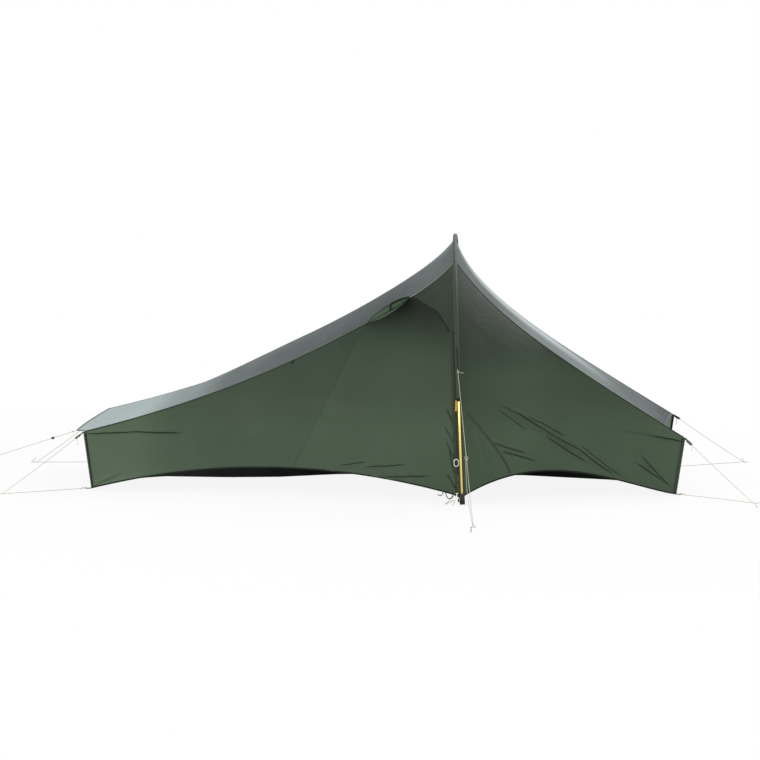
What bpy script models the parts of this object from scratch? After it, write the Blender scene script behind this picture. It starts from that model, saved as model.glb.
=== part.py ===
# Single-arch backpacking tent: a flysheet over one bent pole, raised ends on short
# corner struts, a hung inner tent, and guy lines to wire pegs.
# Metres, +Z up. X runs along the tent, the door side faces -Y, and the origin is on
# the ground under the middle of the two ends.

import math

import bmesh
import bpy
import numpy as np

# Driving sizes of the pitched shape
HALF_LENGTH = 1.145
HALF_END_WIDTH = 0.45
CORNER_TOP_HEIGHT = 0.235
CORNER_BOTTOM_HEIGHT = 0.01
END_LEAN = 0.03
PEAK_HEIGHT = 1.0
HALF_ARCH_WIDTH = 0.785
ARCH_X = 0.315
ARCH_LEAN = 0.045

# Arch pole
POLE_SECTIONS = 6
STEPS_PER_SECTION = 7
POLE_DIAMETER = 0.009
POLE_WALL = 0.0006
POLE_JOINT_GAP = 0.0008
FERRULE_LENGTH = 0.066
FERRULE_WALL = 0.0006
FERRULE_CLEARANCE = 0.0004
SHOCK_CORD_DIAMETER = 0.0024
POLE_TIP_HEIGHT = 0.012
FOOT_CUP_RADIUS = 0.0102
FOOT_CUP_HEIGHT = 0.036
FOOT_CUP_BORE_CLEARANCE = 0.0004
FOOT_WEB_THICKNESS = 0.0012
FOOT_WEB_WIDTH = 0.02

# Pole sleeve, sewn outside the flysheet
SLEEVE_RADIUS = 0.0084
SLEEVE_WALL = 0.0006
SLEEVE_DROP = 0.0028
SLEEVE_STEPS_DOWN = 16
SEAM_STEP = 5

# Flysheet cloth
FABRIC = 0.0005
SEAM_GAP = 0.0005
ARCH_SEAM_GAP = 0.0008
TOUCH_GAP = 0.0003
HEM_ARCH_HEIGHT = 0.03
HEM_LIFT = 0.09
HEM_BOW = 0.06
HEM_SKEW_LEFT = 1.0
HEM_SKEW_RIGHT = 1.35
BEAK_REACH = 0.083
BEAK_DROP = 0.045
BEAK_FADE = 10
BEAK_ROUND = 1.3
ROOF_END_CURVE = 0.045
ROOF_END_SAG = 0.02
ROOF_END_FADE = 6
CROWN_FROM = 0.08
CROWN_TO = 0.58
WALL_BOW = 2.5
DOOR_WALL_BOW = 1.5

# Door in the left front wall
DOOR_FOLD_TOP = 0.76
DOOR_FOLD_BOTTOM = 0.545
DOOR_HOOD_START = 0.885
DOOR_HOOD_SLOPE = 0.73
DOOR_HOOD_POWER = 8
DOOR_HOOD_PANEL_START = 0.012
DOOR_TOP_STEPS_DOWN = 6
ZIP_SETBACK = 0.014
ZIP_GAP = 0.001
ZIP_TAPE_WIDTH = 0.009
ZIP_THICKNESS = 0.0008
ZIP_TAPE_START = 0.0025

# Vent under the roof edge
VENT_START = 0.768
VENT_END = 0.875
VENT_MOUTH_DEPTH = 0.022
VENT_HOOD_REACH = 0.04
VENT_STAY_DIAMETER = 0.004
VENT_END_SHARE = 0.15
VENT_ROUND = 0.7
VENT_MESH_MARGIN = 0.012
VENT_MESH_ENDS = 0.004

# Corner struts and fittings
STRUT_DIAMETER = 0.004
STRUT_INSET = 0.003
WEBBING_WIDTH = 0.015
WEBBING_THICKNESS = 0.0015
WEBBING_TOP_LENGTH = 0.02
WEBBING_BOTTOM_LENGTH = 0.024
WEBBING_GAP = 0.0005
WEBBING_LIFT = 0.001
LOCK_LENGTH = 0.022
LOCK_WIDTH = 0.016
LOCK_THICKNESS = 0.005
LOCK_GAP = 0.0009
LOCK_RIM = 0.003
LOCK_SLOT = 0.005
LOCK_BAR = 0.0035

# Guy lines and pegs
GUY_DIAMETER = 0.002
PEG_DIAMETER = 0.004
PEG_LENGTH = 0.15
PEG_HOOK_RADIUS = 0.008
PEG_NECK = 0.05
PEG_POINT_SHARE = 0.92
PEG_POINT_WIDTH = 0.25
PEG_LEFT_FRONT = (-1.493, -0.588)
PEG_LEFT_BACK = (-1.497, 0.507)
PEG_RIGHT_FRONT = (1.45, -0.64)
PEG_RIGHT_BACK = (1.504, 0.771)
PEG_BEAK = (-1.84, 0.0)
PEG_ARCH_FRONT = (0.361, -1.433)
PEG_ARCH_BACK = (0.361, 1.32)
ARCH_GUY_STEP = 13.5
GUY_TURN_RADIUS = 0.003
SLIDER_LENGTH = 0.012
SLIDER_WIDTH = 0.009

# Inner tent
INNER_FABRIC = 0.0005
INNER_END_INSET = 0.02
INNER_SIDE_INSET = 0.03
TUB_WALL = 0.12
TUB_FRONT_Y = -0.12
TUB_FRONT_LEFT = -0.2
TUB_FRONT_RIGHT = 0.55
TUB_FRONT_LIFT = 0.042
TUB_BACK_INSET = 0.115
INNER_HANG = 0.055
INNER_PEAK_HANG = 0.0016
INNER_DOOR_LEFT = -0.1
INNER_DOOR_RIGHT = 0.48
INNER_DOOR_SILL = 0.03
INNER_DOOR_TOP = 0.62
TUB_BACK_BOW = 0.03
TUB_END_CURVE = 0.035
TUB_FLARE = 0.008
TUB_FRONT_SLOPE = 0.1
TUB_LIFT_RUN = 0.2

# Zip slider and pull
ZIP_PARK_STEPS = 0.26
SLIDER_PLATE = 0.0012
SLIDER_WEB = 0.0005
SLIDER_WIDTH_OUT = 0.009
SLIDER_BODY_LENGTH = 0.012
SLIDER_BRIDGE_HOLE = 0.0024
SLIDER_BRIDGE_WIDTH = 0.0022
SLIDER_BRIDGE_INSET = 0.0008
SLIDER_BRIDGE_LEG = 0.0014
SLIDER_BRIDGE_SINK = 0.0006
SLIDER_BRIDGE_BAR = 0.001
PULL_BAR = 0.0014
PULL_LENGTH = 0.026

# Small places
FOOT_CUP_FLOOR = 0.005
FOOT_CUP_BASE_SHARE = 0.9
FOOT_CUP_CHAMFER_SHARE = 0.6
FOOT_CUP_RIM_SHARE = 0.86
FOOT_CUP_RIM_HEIGHT = 0.006
FOOT_WEB_RISE = 0.01
FOOT_WEB_LIP = 0.01
VENT_HOOD_AXIS_GAP = 0.0001
VENT_MESH_GAP = 0.0008
STRUT_END_GAP = 0.004
STRUT_HEAD_DROP = 0.006
END_SLIDER_PLACE = 0.1
ARCH_GUY_START = 0.4
ARCH_GUY_PAST = 0.0004
INNER_TOP_SHARE = 0.86
INNER_SILL_SHARE = 0.2
INNER_PEAK_HALF = 0.06
INNER_STEP = 0.2
INNER_LONG_STEP = 0.45
INNER_RIGHT_SHARE = 0.7
INNER_END_SHARES = (0.4, 0.8)
TUB_MIDDLE_SHARE = 0.55
TAB_HEIGHT = 0.003
TAB_LENGTH = 0.014
TAB_WIDTH = 0.006

# Values worked out from the driving sizes
LEAN_ANGLE = math.atan2(ARCH_LEAN, PEAK_HEIGHT)
POLE_TOP = PEAK_HEIGHT / math.cos(LEAN_ANGLE) - SLEEVE_RADIUS + SLEEVE_DROP
POLE_RADIUS = (POLE_TOP**2 + HALF_ARCH_WIDTH**2) / (2 * POLE_TOP)
ARCH_CENTRE = POLE_TOP - POLE_RADIUS
FLY_RADIUS = POLE_RADIUS - SLEEVE_DROP - SLEEVE_RADIUS - TOUCH_GAP
POLE_HALF_ANGLE = math.acos((POLE_TIP_HEIGHT - ARCH_CENTRE) / POLE_RADIUS)
STEP_ANGLE = POLE_HALF_ANGLE / (POLE_SECTIONS / 2 * STEPS_PER_SECTION)
HEM_STEP = math.acos((HEM_ARCH_HEIGHT - ARCH_CENTRE) / FLY_RADIUS) / STEP_ANGLE
DOOR_TOP_SHARE = DOOR_TOP_STEPS_DOWN / (HEM_STEP - SEAM_STEP)
SLEEVE_SIDES = 8
SLEEVE_FLAT = SLEEVE_RADIUS * math.cos(math.pi / SLEEVE_SIDES) - SLEEVE_WALL / 2

# How each side of the roof falls from the arch to its end: share of a straight fall,
# power of the curved share, share and power of the steep part beside the arch, and the
# share of the arch's crown that the roof keeps along its length.
SIDES = {
    "left": {"sign": -1, "straight": 0.54, "power": 2.24, "steep": 0.05, "steep_power": 27,
             "crown": 0.72, "crown_power": 5, "skew": HEM_SKEW_LEFT},
    "right": {"sign": 1, "straight": 0.81, "power": 2.8, "steep": 0.13, "steep_power": 6.5,
              "crown": 0.25, "crown_power": 28, "skew": HEM_SKEW_RIGHT},
}

MATERIALS = {
    "fly": ((0.085, 0.13, 0.085), 0.55, 0.0),
    "roof": ((0.13, 0.18, 0.14), 0.45, 0.0),
    "black": ((0.02, 0.022, 0.022), 0.7, 0.0),
    "mesh": ((0.22, 0.32, 0.2), 0.8, 0.0),
    "pole": ((0.75, 0.5, 0.12), 0.3, 1.0),
    "silver": ((0.6, 0.6, 0.6), 0.35, 1.0),
    "carbon": ((0.03, 0.03, 0.033), 0.4, 0.0),
    "guy": ((0.72, 0.7, 0.5), 0.8, 0.0),
    "inner": ((0.62, 0.6, 0.5), 0.7, 0.0),
    "tub": ((0.025, 0.028, 0.028), 0.5, 0.0),
}


def clear_scene():
    for obj in list(bpy.data.objects):
        bpy.data.objects.remove(obj, do_unlink=True)


def material(slot):
    """The shared look of a slot, as a Principled material."""
    found = bpy.data.materials.get(slot)
    if found:
        return found
    colour, rough, metal = MATERIALS[slot]
    made = bpy.data.materials.new(slot)
    made.use_nodes = True
    shader = made.node_tree.nodes["Principled BSDF"]
    shader.inputs["Base Color"].default_value = (*colour, 1.0)
    shader.inputs["Roughness"].default_value = rough
    shader.inputs["Metallic"].default_value = metal
    made.diffuse_color = (*colour, 1.0)
    return made


def add_object(name, bm, slot, smooth=True, origin=None):
    """Turns a bmesh into a named object with outward faces, its origin where asked."""
    bmesh.ops.recalc_face_normals(bm, faces=bm.faces)
    mesh = bpy.data.meshes.new(name)
    if origin is not None:
        bmesh.ops.translate(bm, verts=bm.verts, vec=[-c for c in origin])
    bm.to_mesh(mesh)
    bm.free()
    obj = bpy.data.objects.new(name, mesh)
    if origin is not None:
        obj.location = origin
    bpy.context.collection.objects.link(obj)
    shade = material(slot).copy()
    shade.name = name
    mesh.materials.append(shade)
    if smooth:
        mesh.shade_smooth()
        mesh.set_sharp_from_angle(angle=math.radians(35))
    return obj


def lerp(a, b, f):
    return a + (b - a) * f


def smooth_step(low, high, value):
    f = min(1.0, max(0.0, (value - low) / (high - low)))
    return f * f * (3 - 2 * f)


def vec(*values):
    return np.array(values, dtype=float)


def unit(v):
    return v / np.linalg.norm(v)


def arch_vertex(step, radius, across=0.0):
    """A point of the leaning arch plane, step 0 at the top and positive to the door."""
    angle = step * STEP_ANGLE
    up = ARCH_CENTRE + radius * math.cos(angle)
    x = ARCH_X - up * math.sin(LEAN_ANGLE) + across * math.cos(LEAN_ANGLE)
    z = up * math.cos(LEAN_ANGLE) + across * math.sin(LEAN_ANGLE)
    return vec(x, -radius * math.sin(angle), z)


def arch_at(step, radius, across=0.0):
    """As arch_vertex, on the straight facet between two whole steps."""
    low = math.floor(step + 1e-9)
    part = max(0.0, step - low)
    if part < 1e-9:
        return arch_vertex(low, radius, across)
    a = arch_vertex(low, radius, across)
    return lerp(a, arch_vertex(low + 1, radius, across), part)


def mirror_y(point):
    return point * vec(1, -1, 1)


def rise(side, t):
    """Share of the height gained at t, from 0 at the end to 1 at the arch."""
    curved = 1 - side["straight"] - side["steep"]
    steep = side["steep"] * t ** side["steep_power"]
    return side["straight"] * t + curved * t ** side["power"] + steep


def seam_point(side, t):
    """The front roof seam, from the corner's top at t 0 to the arch at t 1."""
    top = arch_at(SEAM_STEP, FLY_RADIUS)
    x = lerp(side["sign"] * (HALF_LENGTH + END_LEAN), top[0], t)
    y = lerp(-HALF_END_WIDTH, top[1], t)
    return vec(x, y, lerp(CORNER_TOP_HEIGHT, top[2], rise(side, t)))


def hem_point(side, t):
    """The front hem, lifted and drawn in between the corner and the arch foot."""
    foot = arch_at(HEM_STEP, FLY_RADIUS)
    x = lerp(side["sign"] * HALF_LENGTH, foot[0], t)
    y = lerp(-HALF_END_WIDTH, foot[1], t) + HEM_BOW * 4 * t * (1 - t)
    skewed = t ** side["skew"]
    lift = HEM_LIFT * 4 * skewed * (1 - skewed)
    return vec(x, y, lerp(CORNER_BOTTOM_HEIGHT, foot[2], t) + lift)


def roof_point(side, t, v):
    """The roof strip, v -1 on the front seam and 1 on the back seam."""
    front = seam_point(side, t)
    flat = lerp(front, mirror_y(front), (v + 1) / 2)
    arch_front = seam_point(side, 1.0)
    arch_flat = lerp(arch_front, mirror_y(arch_front), (v + 1) / 2)
    crown = arch_at(-v * SEAM_STEP, FLY_RADIUS) - arch_flat
    kept = side["crown"] * smooth_step(CROWN_FROM, CROWN_TO, t)
    kept += (1 - side["crown"]) * t ** side["crown_power"]
    point = flat + crown * kept
    if side["sign"] < 0:
        near_end = (1 - t) ** BEAK_FADE
        point[0] -= BEAK_REACH * (1 - abs(v) ** BEAK_ROUND) * near_end
        point[2] -= BEAK_DROP * (1 - abs(v)) * near_end
    else:
        near_end = (1 - t) ** ROOF_END_FADE
        point[0] -= ROOF_END_CURVE * (1 - v * v) * near_end
        point[2] -= ROOF_END_SAG * (1 - v * v) * near_end
    return point


def wall_point(side, u, w, door_wall=False):
    """A side wall on its rulings: w 0 on the seam, 1 on the hem; u 1 at the arch."""
    if door_wall:
        if u <= DOOR_FOLD_TOP:
            hem_t = u * DOOR_FOLD_BOTTOM / DOOR_FOLD_TOP
        else:
            past = (u - DOOR_FOLD_TOP) / (1 - DOOR_FOLD_TOP)
            hem_t = lerp(DOOR_FOLD_BOTTOM, 1.0, past)
        bow = max(0.0, (u - DOOR_FOLD_TOP) / (1 - DOOR_FOLD_TOP)) ** DOOR_WALL_BOW
    else:
        hem_t = u
        bow = u**WALL_BOW
    flat = lerp(seam_point(side, u), hem_point(side, hem_t), w)
    arch_flat = lerp(seam_point(side, 1.0), hem_point(side, 1.0), w)
    arch = arch_at(lerp(SEAM_STEP, HEM_STEP, w), FLY_RADIUS)
    return flat + (arch - arch_flat) * bow


def wall_length(side, u, door_wall=False):
    top = wall_point(side, u, 0.0, door_wall)
    return np.linalg.norm(wall_point(side, u, 1.0, door_wall) - top)


def u_beside_arch(side, w, distance, door_wall=False):
    """The u whose point lies the given distance from the arch seam at w."""
    near = 0.99
    span = np.linalg.norm(wall_point(side, 1.0, w, door_wall) - wall_point(side, near, w, door_wall))
    return 1.0 - distance * (1.0 - near) / span


def sheet(name, rows, thickness, slot, inside, origin=None, holes=()):
    """A closed thin solid from a grid of outer points, thickened towards a point."""
    grid = np.array(rows, dtype=float)
    count_u, count_v = grid.shape[:2]
    normal = np.cross(np.gradient(grid, axis=0), np.gradient(grid, axis=1))
    normal /= np.linalg.norm(normal, axis=2)[..., None]
    towards = np.array(inside) - grid
    normal *= np.median(np.sign((normal * towards).sum(axis=2)))
    bm = bmesh.new()
    outer = [[bm.verts.new(p) for p in row] for row in grid]
    inner = [[bm.verts.new(p) for p in row] for row in grid + normal * thickness]
    cells = {(i, j) for i in range(count_u - 1) for j in range(count_v - 1)} - set(holes)
    close_cells(bm, outer, inner, cells)
    bmesh.ops.triangulate(bm, faces=bm.faces)
    bmesh.ops.delete(bm, geom=[v for v in bm.verts if not v.link_faces], context="VERTS")
    return add_object(name, bm, slot, origin=origin)


def close_cells(bm, outer, inner, cells):
    """Faces over two matching grids of vertices, with walls round every open edge."""
    for i, j in cells:
        for layer in (outer, inner):
            quad = (layer[i][j], layer[i + 1][j], layer[i + 1][j + 1], layer[i][j + 1])
            bm.faces.new(quad if layer is outer else quad[::-1])
        edges = {(-1, 0): ((i, j), (i, j + 1)), (1, 0): ((i + 1, j + 1), (i + 1, j)),
                 (0, -1): ((i + 1, j), (i, j)), (0, 1): ((i, j + 1), (i + 1, j + 1))}
        for step, (a, b) in edges.items():
            if (i + step[0], j + step[1]) not in cells:
                bm.faces.new((outer[a[0]][a[1]], outer[b[0]][b[1]], inner[b[0]][b[1]], inner[a[0]][a[1]]))


def tube_rings(points, radius, sides, up=(1.0, 0.0, 0.0)):
    """Rings of points round a path, kept square to it by one fixed side direction."""
    rings = []
    for i, point in enumerate(points):
        before = points[max(0, i - 1)]
        after = points[min(len(points) - 1, i + 1)]
        along = unit(after - before)
        side = unit(np.array(up) - along * np.dot(up, along))
        other = np.cross(along, side)
        turn = [2 * math.pi * k / sides for k in range(sides)]
        rings.append([point + radius * (math.cos(a) * side + math.sin(a) * other) for a in turn])
    return rings


def join_rings(bm, rings, loop=False):
    """Walls between rings of points one after another, and back to the first if asked."""
    verts = [[bm.verts.new(p) for p in ring] for ring in rings]
    pairs = list(zip(verts, verts[1:])) + ([(verts[-1], verts[0])] if loop else [])
    sides = len(verts[0])
    for a, b in pairs:
        for k in range(sides):
            n = (k + 1) % sides
            bm.faces.new((a[k], a[n], b[n], b[k]))
    return verts


def add_tube(bm, points, outer, sides, inner=0.0, up=(1.0, 0.0, 0.0)):
    """A closed rod, or a pipe with open ends where an inner radius is given."""
    out = join_rings(bm, tube_rings(points, outer, sides, up))
    if not inner:
        bm.faces.new(out[0][::-1])
        bm.faces.new(out[-1])
        return
    bore = join_rings(bm, tube_rings(points, inner, sides, up))
    for end in (0, -1):
        for k in range(sides):
            n = (k + 1) % sides
            bm.faces.new((out[end][k], out[end][n], bore[end][n], bore[end][k]))


def add_box(bm, centre, axes, size):
    """A box on three given unit axes."""
    corners = []
    for a in (-1, 1):
        for b in (-1, 1):
            for c in (-1, 1):
                offset = sum(ax * s * f / 2 for ax, s, f in zip(axes, size, (a, b, c)))
                corners.append(bm.verts.new(np.array(centre) + offset))
    for face in ((0, 1, 3, 2), (4, 6, 7, 5), (0, 4, 5, 1), (2, 3, 7, 6), (0, 2, 6, 4), (1, 5, 7, 3)):
        bm.faces.new([corners[k] for k in face])


def add_ribbon(bm, points, width_axis, width, thickness_axis, thickness):
    """A flat strap along a path, its outer face on the path."""
    rows = []
    for p, t_axis in zip(points, thickness_axis):
        half = np.array(width_axis) * width / 2
        drop = np.array(t_axis) * thickness
        rows.append([bm.verts.new(q) for q in (p - half, p + half, p + half + drop, p - half + drop)])
    for a, b in zip(rows, rows[1:]):
        for k in range(4):
            n = (k + 1) % 4
            bm.faces.new((a[k], a[n], b[n], b[k]))
    bm.faces.new(rows[0][::-1])
    bm.faces.new(rows[-1])


def add_plate(bm, centre, axes, xs, ys, holes, thickness):
    """A flat plate on a grid of cells, with some cells left open."""
    layers = []
    for level in (-thickness / 2, thickness / 2):
        layers.append([[bm.verts.new(centre + axes[0] * x + axes[1] * y + axes[2] * level)
                        for y in ys] for x in xs])
    cells = {(i, j) for i in range(len(xs) - 1) for j in range(len(ys) - 1)} - set(holes)
    close_cells(bm, *layers, cells)


def cord(name, points, diameter, slot, resolution=2, taper=None):
    """A curve object with a round section and closed ends."""
    curve = bpy.data.curves.new(name, "CURVE")
    curve.dimensions = "3D"
    curve.bevel_depth = diameter / 2
    curve.bevel_resolution = resolution
    curve.use_fill_caps = True
    spline = curve.splines.new("POLY")
    spline.points.add(len(points) - 1)
    for k, point in enumerate(points):
        spline.points[k].co = (*point, 1.0)
        spline.points[k].radius = taper[k] if taper else 1.0
    obj = bpy.data.objects.new(name, curve)
    bpy.context.collection.objects.link(obj)
    shade = material(slot).copy()
    shade.name = name
    curve.materials.append(shade)


INSIDE = vec(0.1, 0.0, 0.25)


def gap_share(length, gap=SEAM_GAP):
    return gap / length


def make_roofs():
    """The two halves of the roof strip, which meet under the sleeve."""
    for key, side in SIDES.items():
        arch_gap = gap_share(HALF_LENGTH) * 1.2
        stations = [1 - (1 - k / 13) ** 1.6 for k in range(14)]
        rows = []
        for f in stations:
            t = lerp(0.0, 1 - arch_gap, f)
            width = np.linalg.norm(roof_point(side, t, 1) - roof_point(side, t, -1))
            edge = 1 - 3 * gap_share(width)
            cross = [edge * k / SEAM_STEP for k in range(-SEAM_STEP, SEAM_STEP + 1)]
            rows.append([roof_point(side, t, v) for v in cross])
        sheet(f"fly_roof_{key}", rows, FABRIC, "roof", INSIDE)


def whole_steps():
    """Wall shares that fall on the arch's own facets, with the hem last."""
    steps = [SEAM_STEP + k for k in range(int(HEM_STEP) - SEAM_STEP + 1)]
    shares = [(s - SEAM_STEP) / (HEM_STEP - SEAM_STEP) for s in steps]
    if 1 - shares[-1] < 0.02:
        shares.pop()
    return shares + [1.0]


def wall_panel(name, side, start, stop, count, shares, door_wall=False, flip=False, crowd=1.6):
    """A wall panel between two upright edges; shares are its w values at each station."""
    rows = []
    for k in range(count + 1):
        f = 1 - (1 - k / count) ** crowd
        row = []
        for w in shares:
            u = lerp(start(w), stop(w), f)
            length = wall_length(side, u, door_wall)
            below = max(w, gap_share(length))
            point = wall_point(side, u, below, door_wall)
            row.append(mirror_y(point) if flip else point)
        rows.append(row)
    sheet(name, rows, FABRIC, "fly", INSIDE)


def door_axis():
    """The straight fold line that the door swings about, from its top to the hem."""
    left = SIDES["left"]
    top = wall_point(left, DOOR_FOLD_TOP, 0.0, True)
    bottom = wall_point(left, DOOR_FOLD_TOP, 1.0, True)
    return top, bottom


def hood_edge(u):
    """The w of the fixed hood's lower edge, above the door beside the arch."""
    f = max(0.0, (u - DOOR_HOOD_START) / (1 - DOOR_HOOD_START))
    bent = (1 - DOOR_HOOD_SLOPE) * f**DOOR_HOOD_POWER
    return DOOR_TOP_SHARE * (DOOR_HOOD_SLOPE * f + bent)


def vent_dip(u):
    """How far the door's top edge dips below the seam at the vent mouth, as a length."""
    if not VENT_START < u < VENT_END:
        return 0.0
    f = (u - VENT_START) / (VENT_END - VENT_START)
    return VENT_MOUTH_DEPTH * math.sin(math.pi * f) ** VENT_ROUND


def door_top(u):
    """The w of the door's top edge."""
    length = wall_length(SIDES["left"], u, True)
    return hood_edge(u) + (6 * SEAM_GAP + vent_dip(u)) / length


def make_walls():
    left, right = SIDES["left"], SIDES["right"]
    shares = whole_steps()
    arch_edge_right = lambda w: u_beside_arch(right, w, ARCH_SEAM_GAP)
    arch_edge_left = lambda w: u_beside_arch(left, w, ARCH_SEAM_GAP)
    end = lambda w: gap_share(HALF_LENGTH, 2 * SEAM_GAP)
    wall_panel("fly_wall_front_right", right, end, arch_edge_right, 12, shares)
    wall_panel("fly_wall_back_right", right, end, arch_edge_right, 12, shares, flip=True)
    wall_panel("fly_wall_back_left", left, end, arch_edge_left, 14, shares, flip=True)
    fold = lambda w: DOOR_FOLD_TOP - gap_share(HALF_LENGTH, SEAM_GAP)
    coarse = [k / 8 for k in range(9)]
    wall_panel("fly_wall_front_left", left, end, fold, 8, coarse, door_wall=True, crowd=1.0)


def door_rows(top_of, bottom_of, start, stop, count, levels):
    """Rows of the door wall between a top and a bottom edge given as w of u."""
    left = SIDES["left"]
    rows = []
    for k in range(count + 1):
        row = []
        f = k / count
        for s in levels:
            w = s
            for _ in range(4):
                u = lerp(start(w), stop(w), f)
                w = lerp(top_of(u), bottom_of(u), s)
            row.append(wall_point(left, u, w, True))
        rows.append(row)
    return rows


def zip_edge():
    """How far the door's own edge stays from the arch seam, past both zip tapes."""
    return ZIP_SETBACK + ZIP_GAP / 2 + ZIP_TAPE_WIDTH + ARCH_SEAM_GAP


def make_door():
    """The swinging part of the door wall, from the fold line to the zip."""
    left = SIDES["left"]
    start = lambda w: DOOR_FOLD_TOP + gap_share(HALF_LENGTH)
    stop = lambda w: u_beside_arch(left, w, zip_edge(), True)
    levels = [k / 12 for k in range(13)]
    rows = door_rows(door_top, lambda u: 1.0, start, stop, 11, levels)
    last = []
    for point in rows[-1]:
        angle = math.atan2(-point[1], point[2] / math.cos(LEAN_ANGLE) - ARCH_CENTRE)
        last.append(arch_at(min(angle / STEP_ANGLE, HEM_STEP), FLY_RADIUS, -zip_edge()))
    rows[-1] = last
    sheet("fly_door", rows, FABRIC, "fly", INSIDE, origin=door_axis()[0])


def make_hood_panel():
    """The fixed corner of the wall beside the arch, which roofs the door's top."""
    left = SIDES["left"]
    start_u = DOOR_HOOD_START + DOOR_HOOD_PANEL_START
    stop = lambda w: u_beside_arch(left, w, ARCH_SEAM_GAP, True)
    top = lambda u: gap_share(wall_length(left, u, True))
    levels = [k / DOOR_TOP_STEPS_DOWN for k in range(DOOR_TOP_STEPS_DOWN + 1)]
    rows = door_rows(top, hood_edge, lambda w: start_u, stop, 6, levels)
    sheet("fly_door_hood", rows, FABRIC, "fly", INSIDE)


def make_ends():
    """The low upright panel across each end, between its two corner struts."""
    for key, side in SIDES.items():
        sign = side["sign"]
        reach = 1 - gap_share(HALF_END_WIDTH, 2 * SEAM_GAP)
        rows = []
        for v in [reach * (k / 5 - 1) for k in range(11)]:
            bottom = vec(sign * HALF_LENGTH, v * HALF_END_WIDTH, CORNER_BOTTOM_HEIGHT)
            if sign > 0:
                top = roof_point(side, 0.0, v) - vec(0, 0, 2 * SEAM_GAP)
            else:
                height = CORNER_TOP_HEIGHT - BEAK_DROP * 0.8 * (1 - abs(v)) - 2 * SEAM_GAP
                top = vec(sign * (HALF_LENGTH + END_LEAN), v * HALF_END_WIDTH, height)
            rows.append([lerp(bottom, top, f / 3) for f in range(4)])
        sheet(f"fly_end_{key}", rows, FABRIC, "fly", INSIDE)


def zip_steps():
    first = SEAM_STEP + DOOR_TOP_STEPS_DOWN
    whole = [first + k for k in range(1, int(HEM_STEP) - first + 1)]
    return [first + 0.4, *whole, HEM_STEP]


def make_zip():
    """Both tapes of the door zip, which follow the arch at one distance from it."""
    near = ZIP_SETBACK - ZIP_GAP / 2
    far = ZIP_SETBACK + ZIP_GAP / 2
    strips = {"door_zip_fixed_tape": (ZIP_TAPE_START, near, None),
              "door_zip_moving_tape": (far, far + ZIP_TAPE_WIDTH, door_axis()[0])}
    for name, (start, stop, origin) in strips.items():
        steps = zip_steps() if origin is None else [*zip_steps()[:-1], HEM_STEP - ZIP_PARK_STEPS]
        rows = [[arch_at(step, FLY_RADIUS, -d) for d in (start, stop)] for step in steps]
        sheet(name, rows, ZIP_THICKNESS, "black", INSIDE, origin=origin)


def slider_frame():
    """Place and axes of the zip slider: down the zip, across it, and outwards."""
    step = HEM_STEP - ZIP_PARK_STEPS / 2
    centre = arch_vertex(step, FLY_RADIUS, -ZIP_SETBACK)
    down = unit(arch_vertex(step + 0.5, FLY_RADIUS) - arch_vertex(step - 0.5, FLY_RADIUS))
    across = vec(math.cos(LEAN_ANGLE), 0, math.sin(LEAN_ANGLE))
    out = unit(np.cross(across, down))
    return centre, down, across, out if out[1] < 0 else -out


def arch_axis_point():
    return arch_vertex(0, 0.0)


def union(target, cutter_name, bm, slot):
    """Joins a second closed shape to an object with a Boolean."""
    other = add_object(cutter_name, bm, slot, smooth=False)
    other.hide_render = True
    other.display_type = "WIRE"
    joined = target.modifiers.new("join", "BOOLEAN")
    joined.operation = "UNION"
    joined.object = other
    return other


def make_slider():
    """The zip slider: a plate each side of the tapes on a web, and a bridge outside."""
    centre, down, across, out = slider_frame()
    sink = ZIP_THICKNESS + FLY_RADIUS * (1 - math.cos(STEP_ANGLE / 2)) + TOUCH_GAP
    low, high = -sink - SLIDER_PLATE, TOUCH_GAP + SLIDER_PLATE
    xs = [-SLIDER_WIDTH_OUT / 2, -SLIDER_WEB / 2, SLIDER_WEB / 2, SLIDER_WIDTH_OUT / 2]
    ys = [low, -sink, TOUCH_GAP, high]
    body = bmesh.new()
    add_plate(body, centre, (across, out, down), xs, ys, {(0, 1), (2, 1)}, SLIDER_BODY_LENGTH)
    slider = add_object("door_zip_slider", body, "silver", smooth=False, origin=arch_axis_point())
    bridge = bmesh.new()
    half = SLIDER_BODY_LENGTH / 2 - SLIDER_BRIDGE_INSET
    xs = [-half, SLIDER_BRIDGE_LEG - half, half - SLIDER_BRIDGE_LEG, half]
    hole_top = high + SLIDER_BRIDGE_HOLE
    ys = [high - SLIDER_BRIDGE_SINK, hole_top, hole_top + SLIDER_BRIDGE_BAR]
    add_plate(bridge, centre, (down, out, across), xs, ys, {(1, 0)}, SLIDER_BRIDGE_WIDTH)
    union(slider, "door_zip_slider_bridge_shape", bridge, "silver")
    pivot = centre + out * (high + SLIDER_BRIDGE_HOLE / 2)
    pull = bmesh.new()
    ring = PULL_BAR
    reach = SLIDER_BRIDGE_WIDTH / 2 + TOUCH_GAP
    xs = [-ring / 2, ring / 2, PULL_LENGTH - 2 * ring, PULL_LENGTH]
    ys = [-reach - ring, -reach, reach, reach + ring]
    hang = unit(across * across[2] - vec(0, 0, 1))
    add_plate(pull, pivot, (hang, across, np.cross(hang, across)), xs, ys, {(1, 1)}, ring)
    add_object("door_zip_pull", pull, "black", smooth=False, origin=pivot)


def sleeve_path(radius, last):
    return [arch_vertex(k, radius) for k in range(-last, last + 1)]


def arch_up():
    return vec(math.cos(LEAN_ANGLE), 0, math.sin(LEAN_ANGLE))


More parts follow.
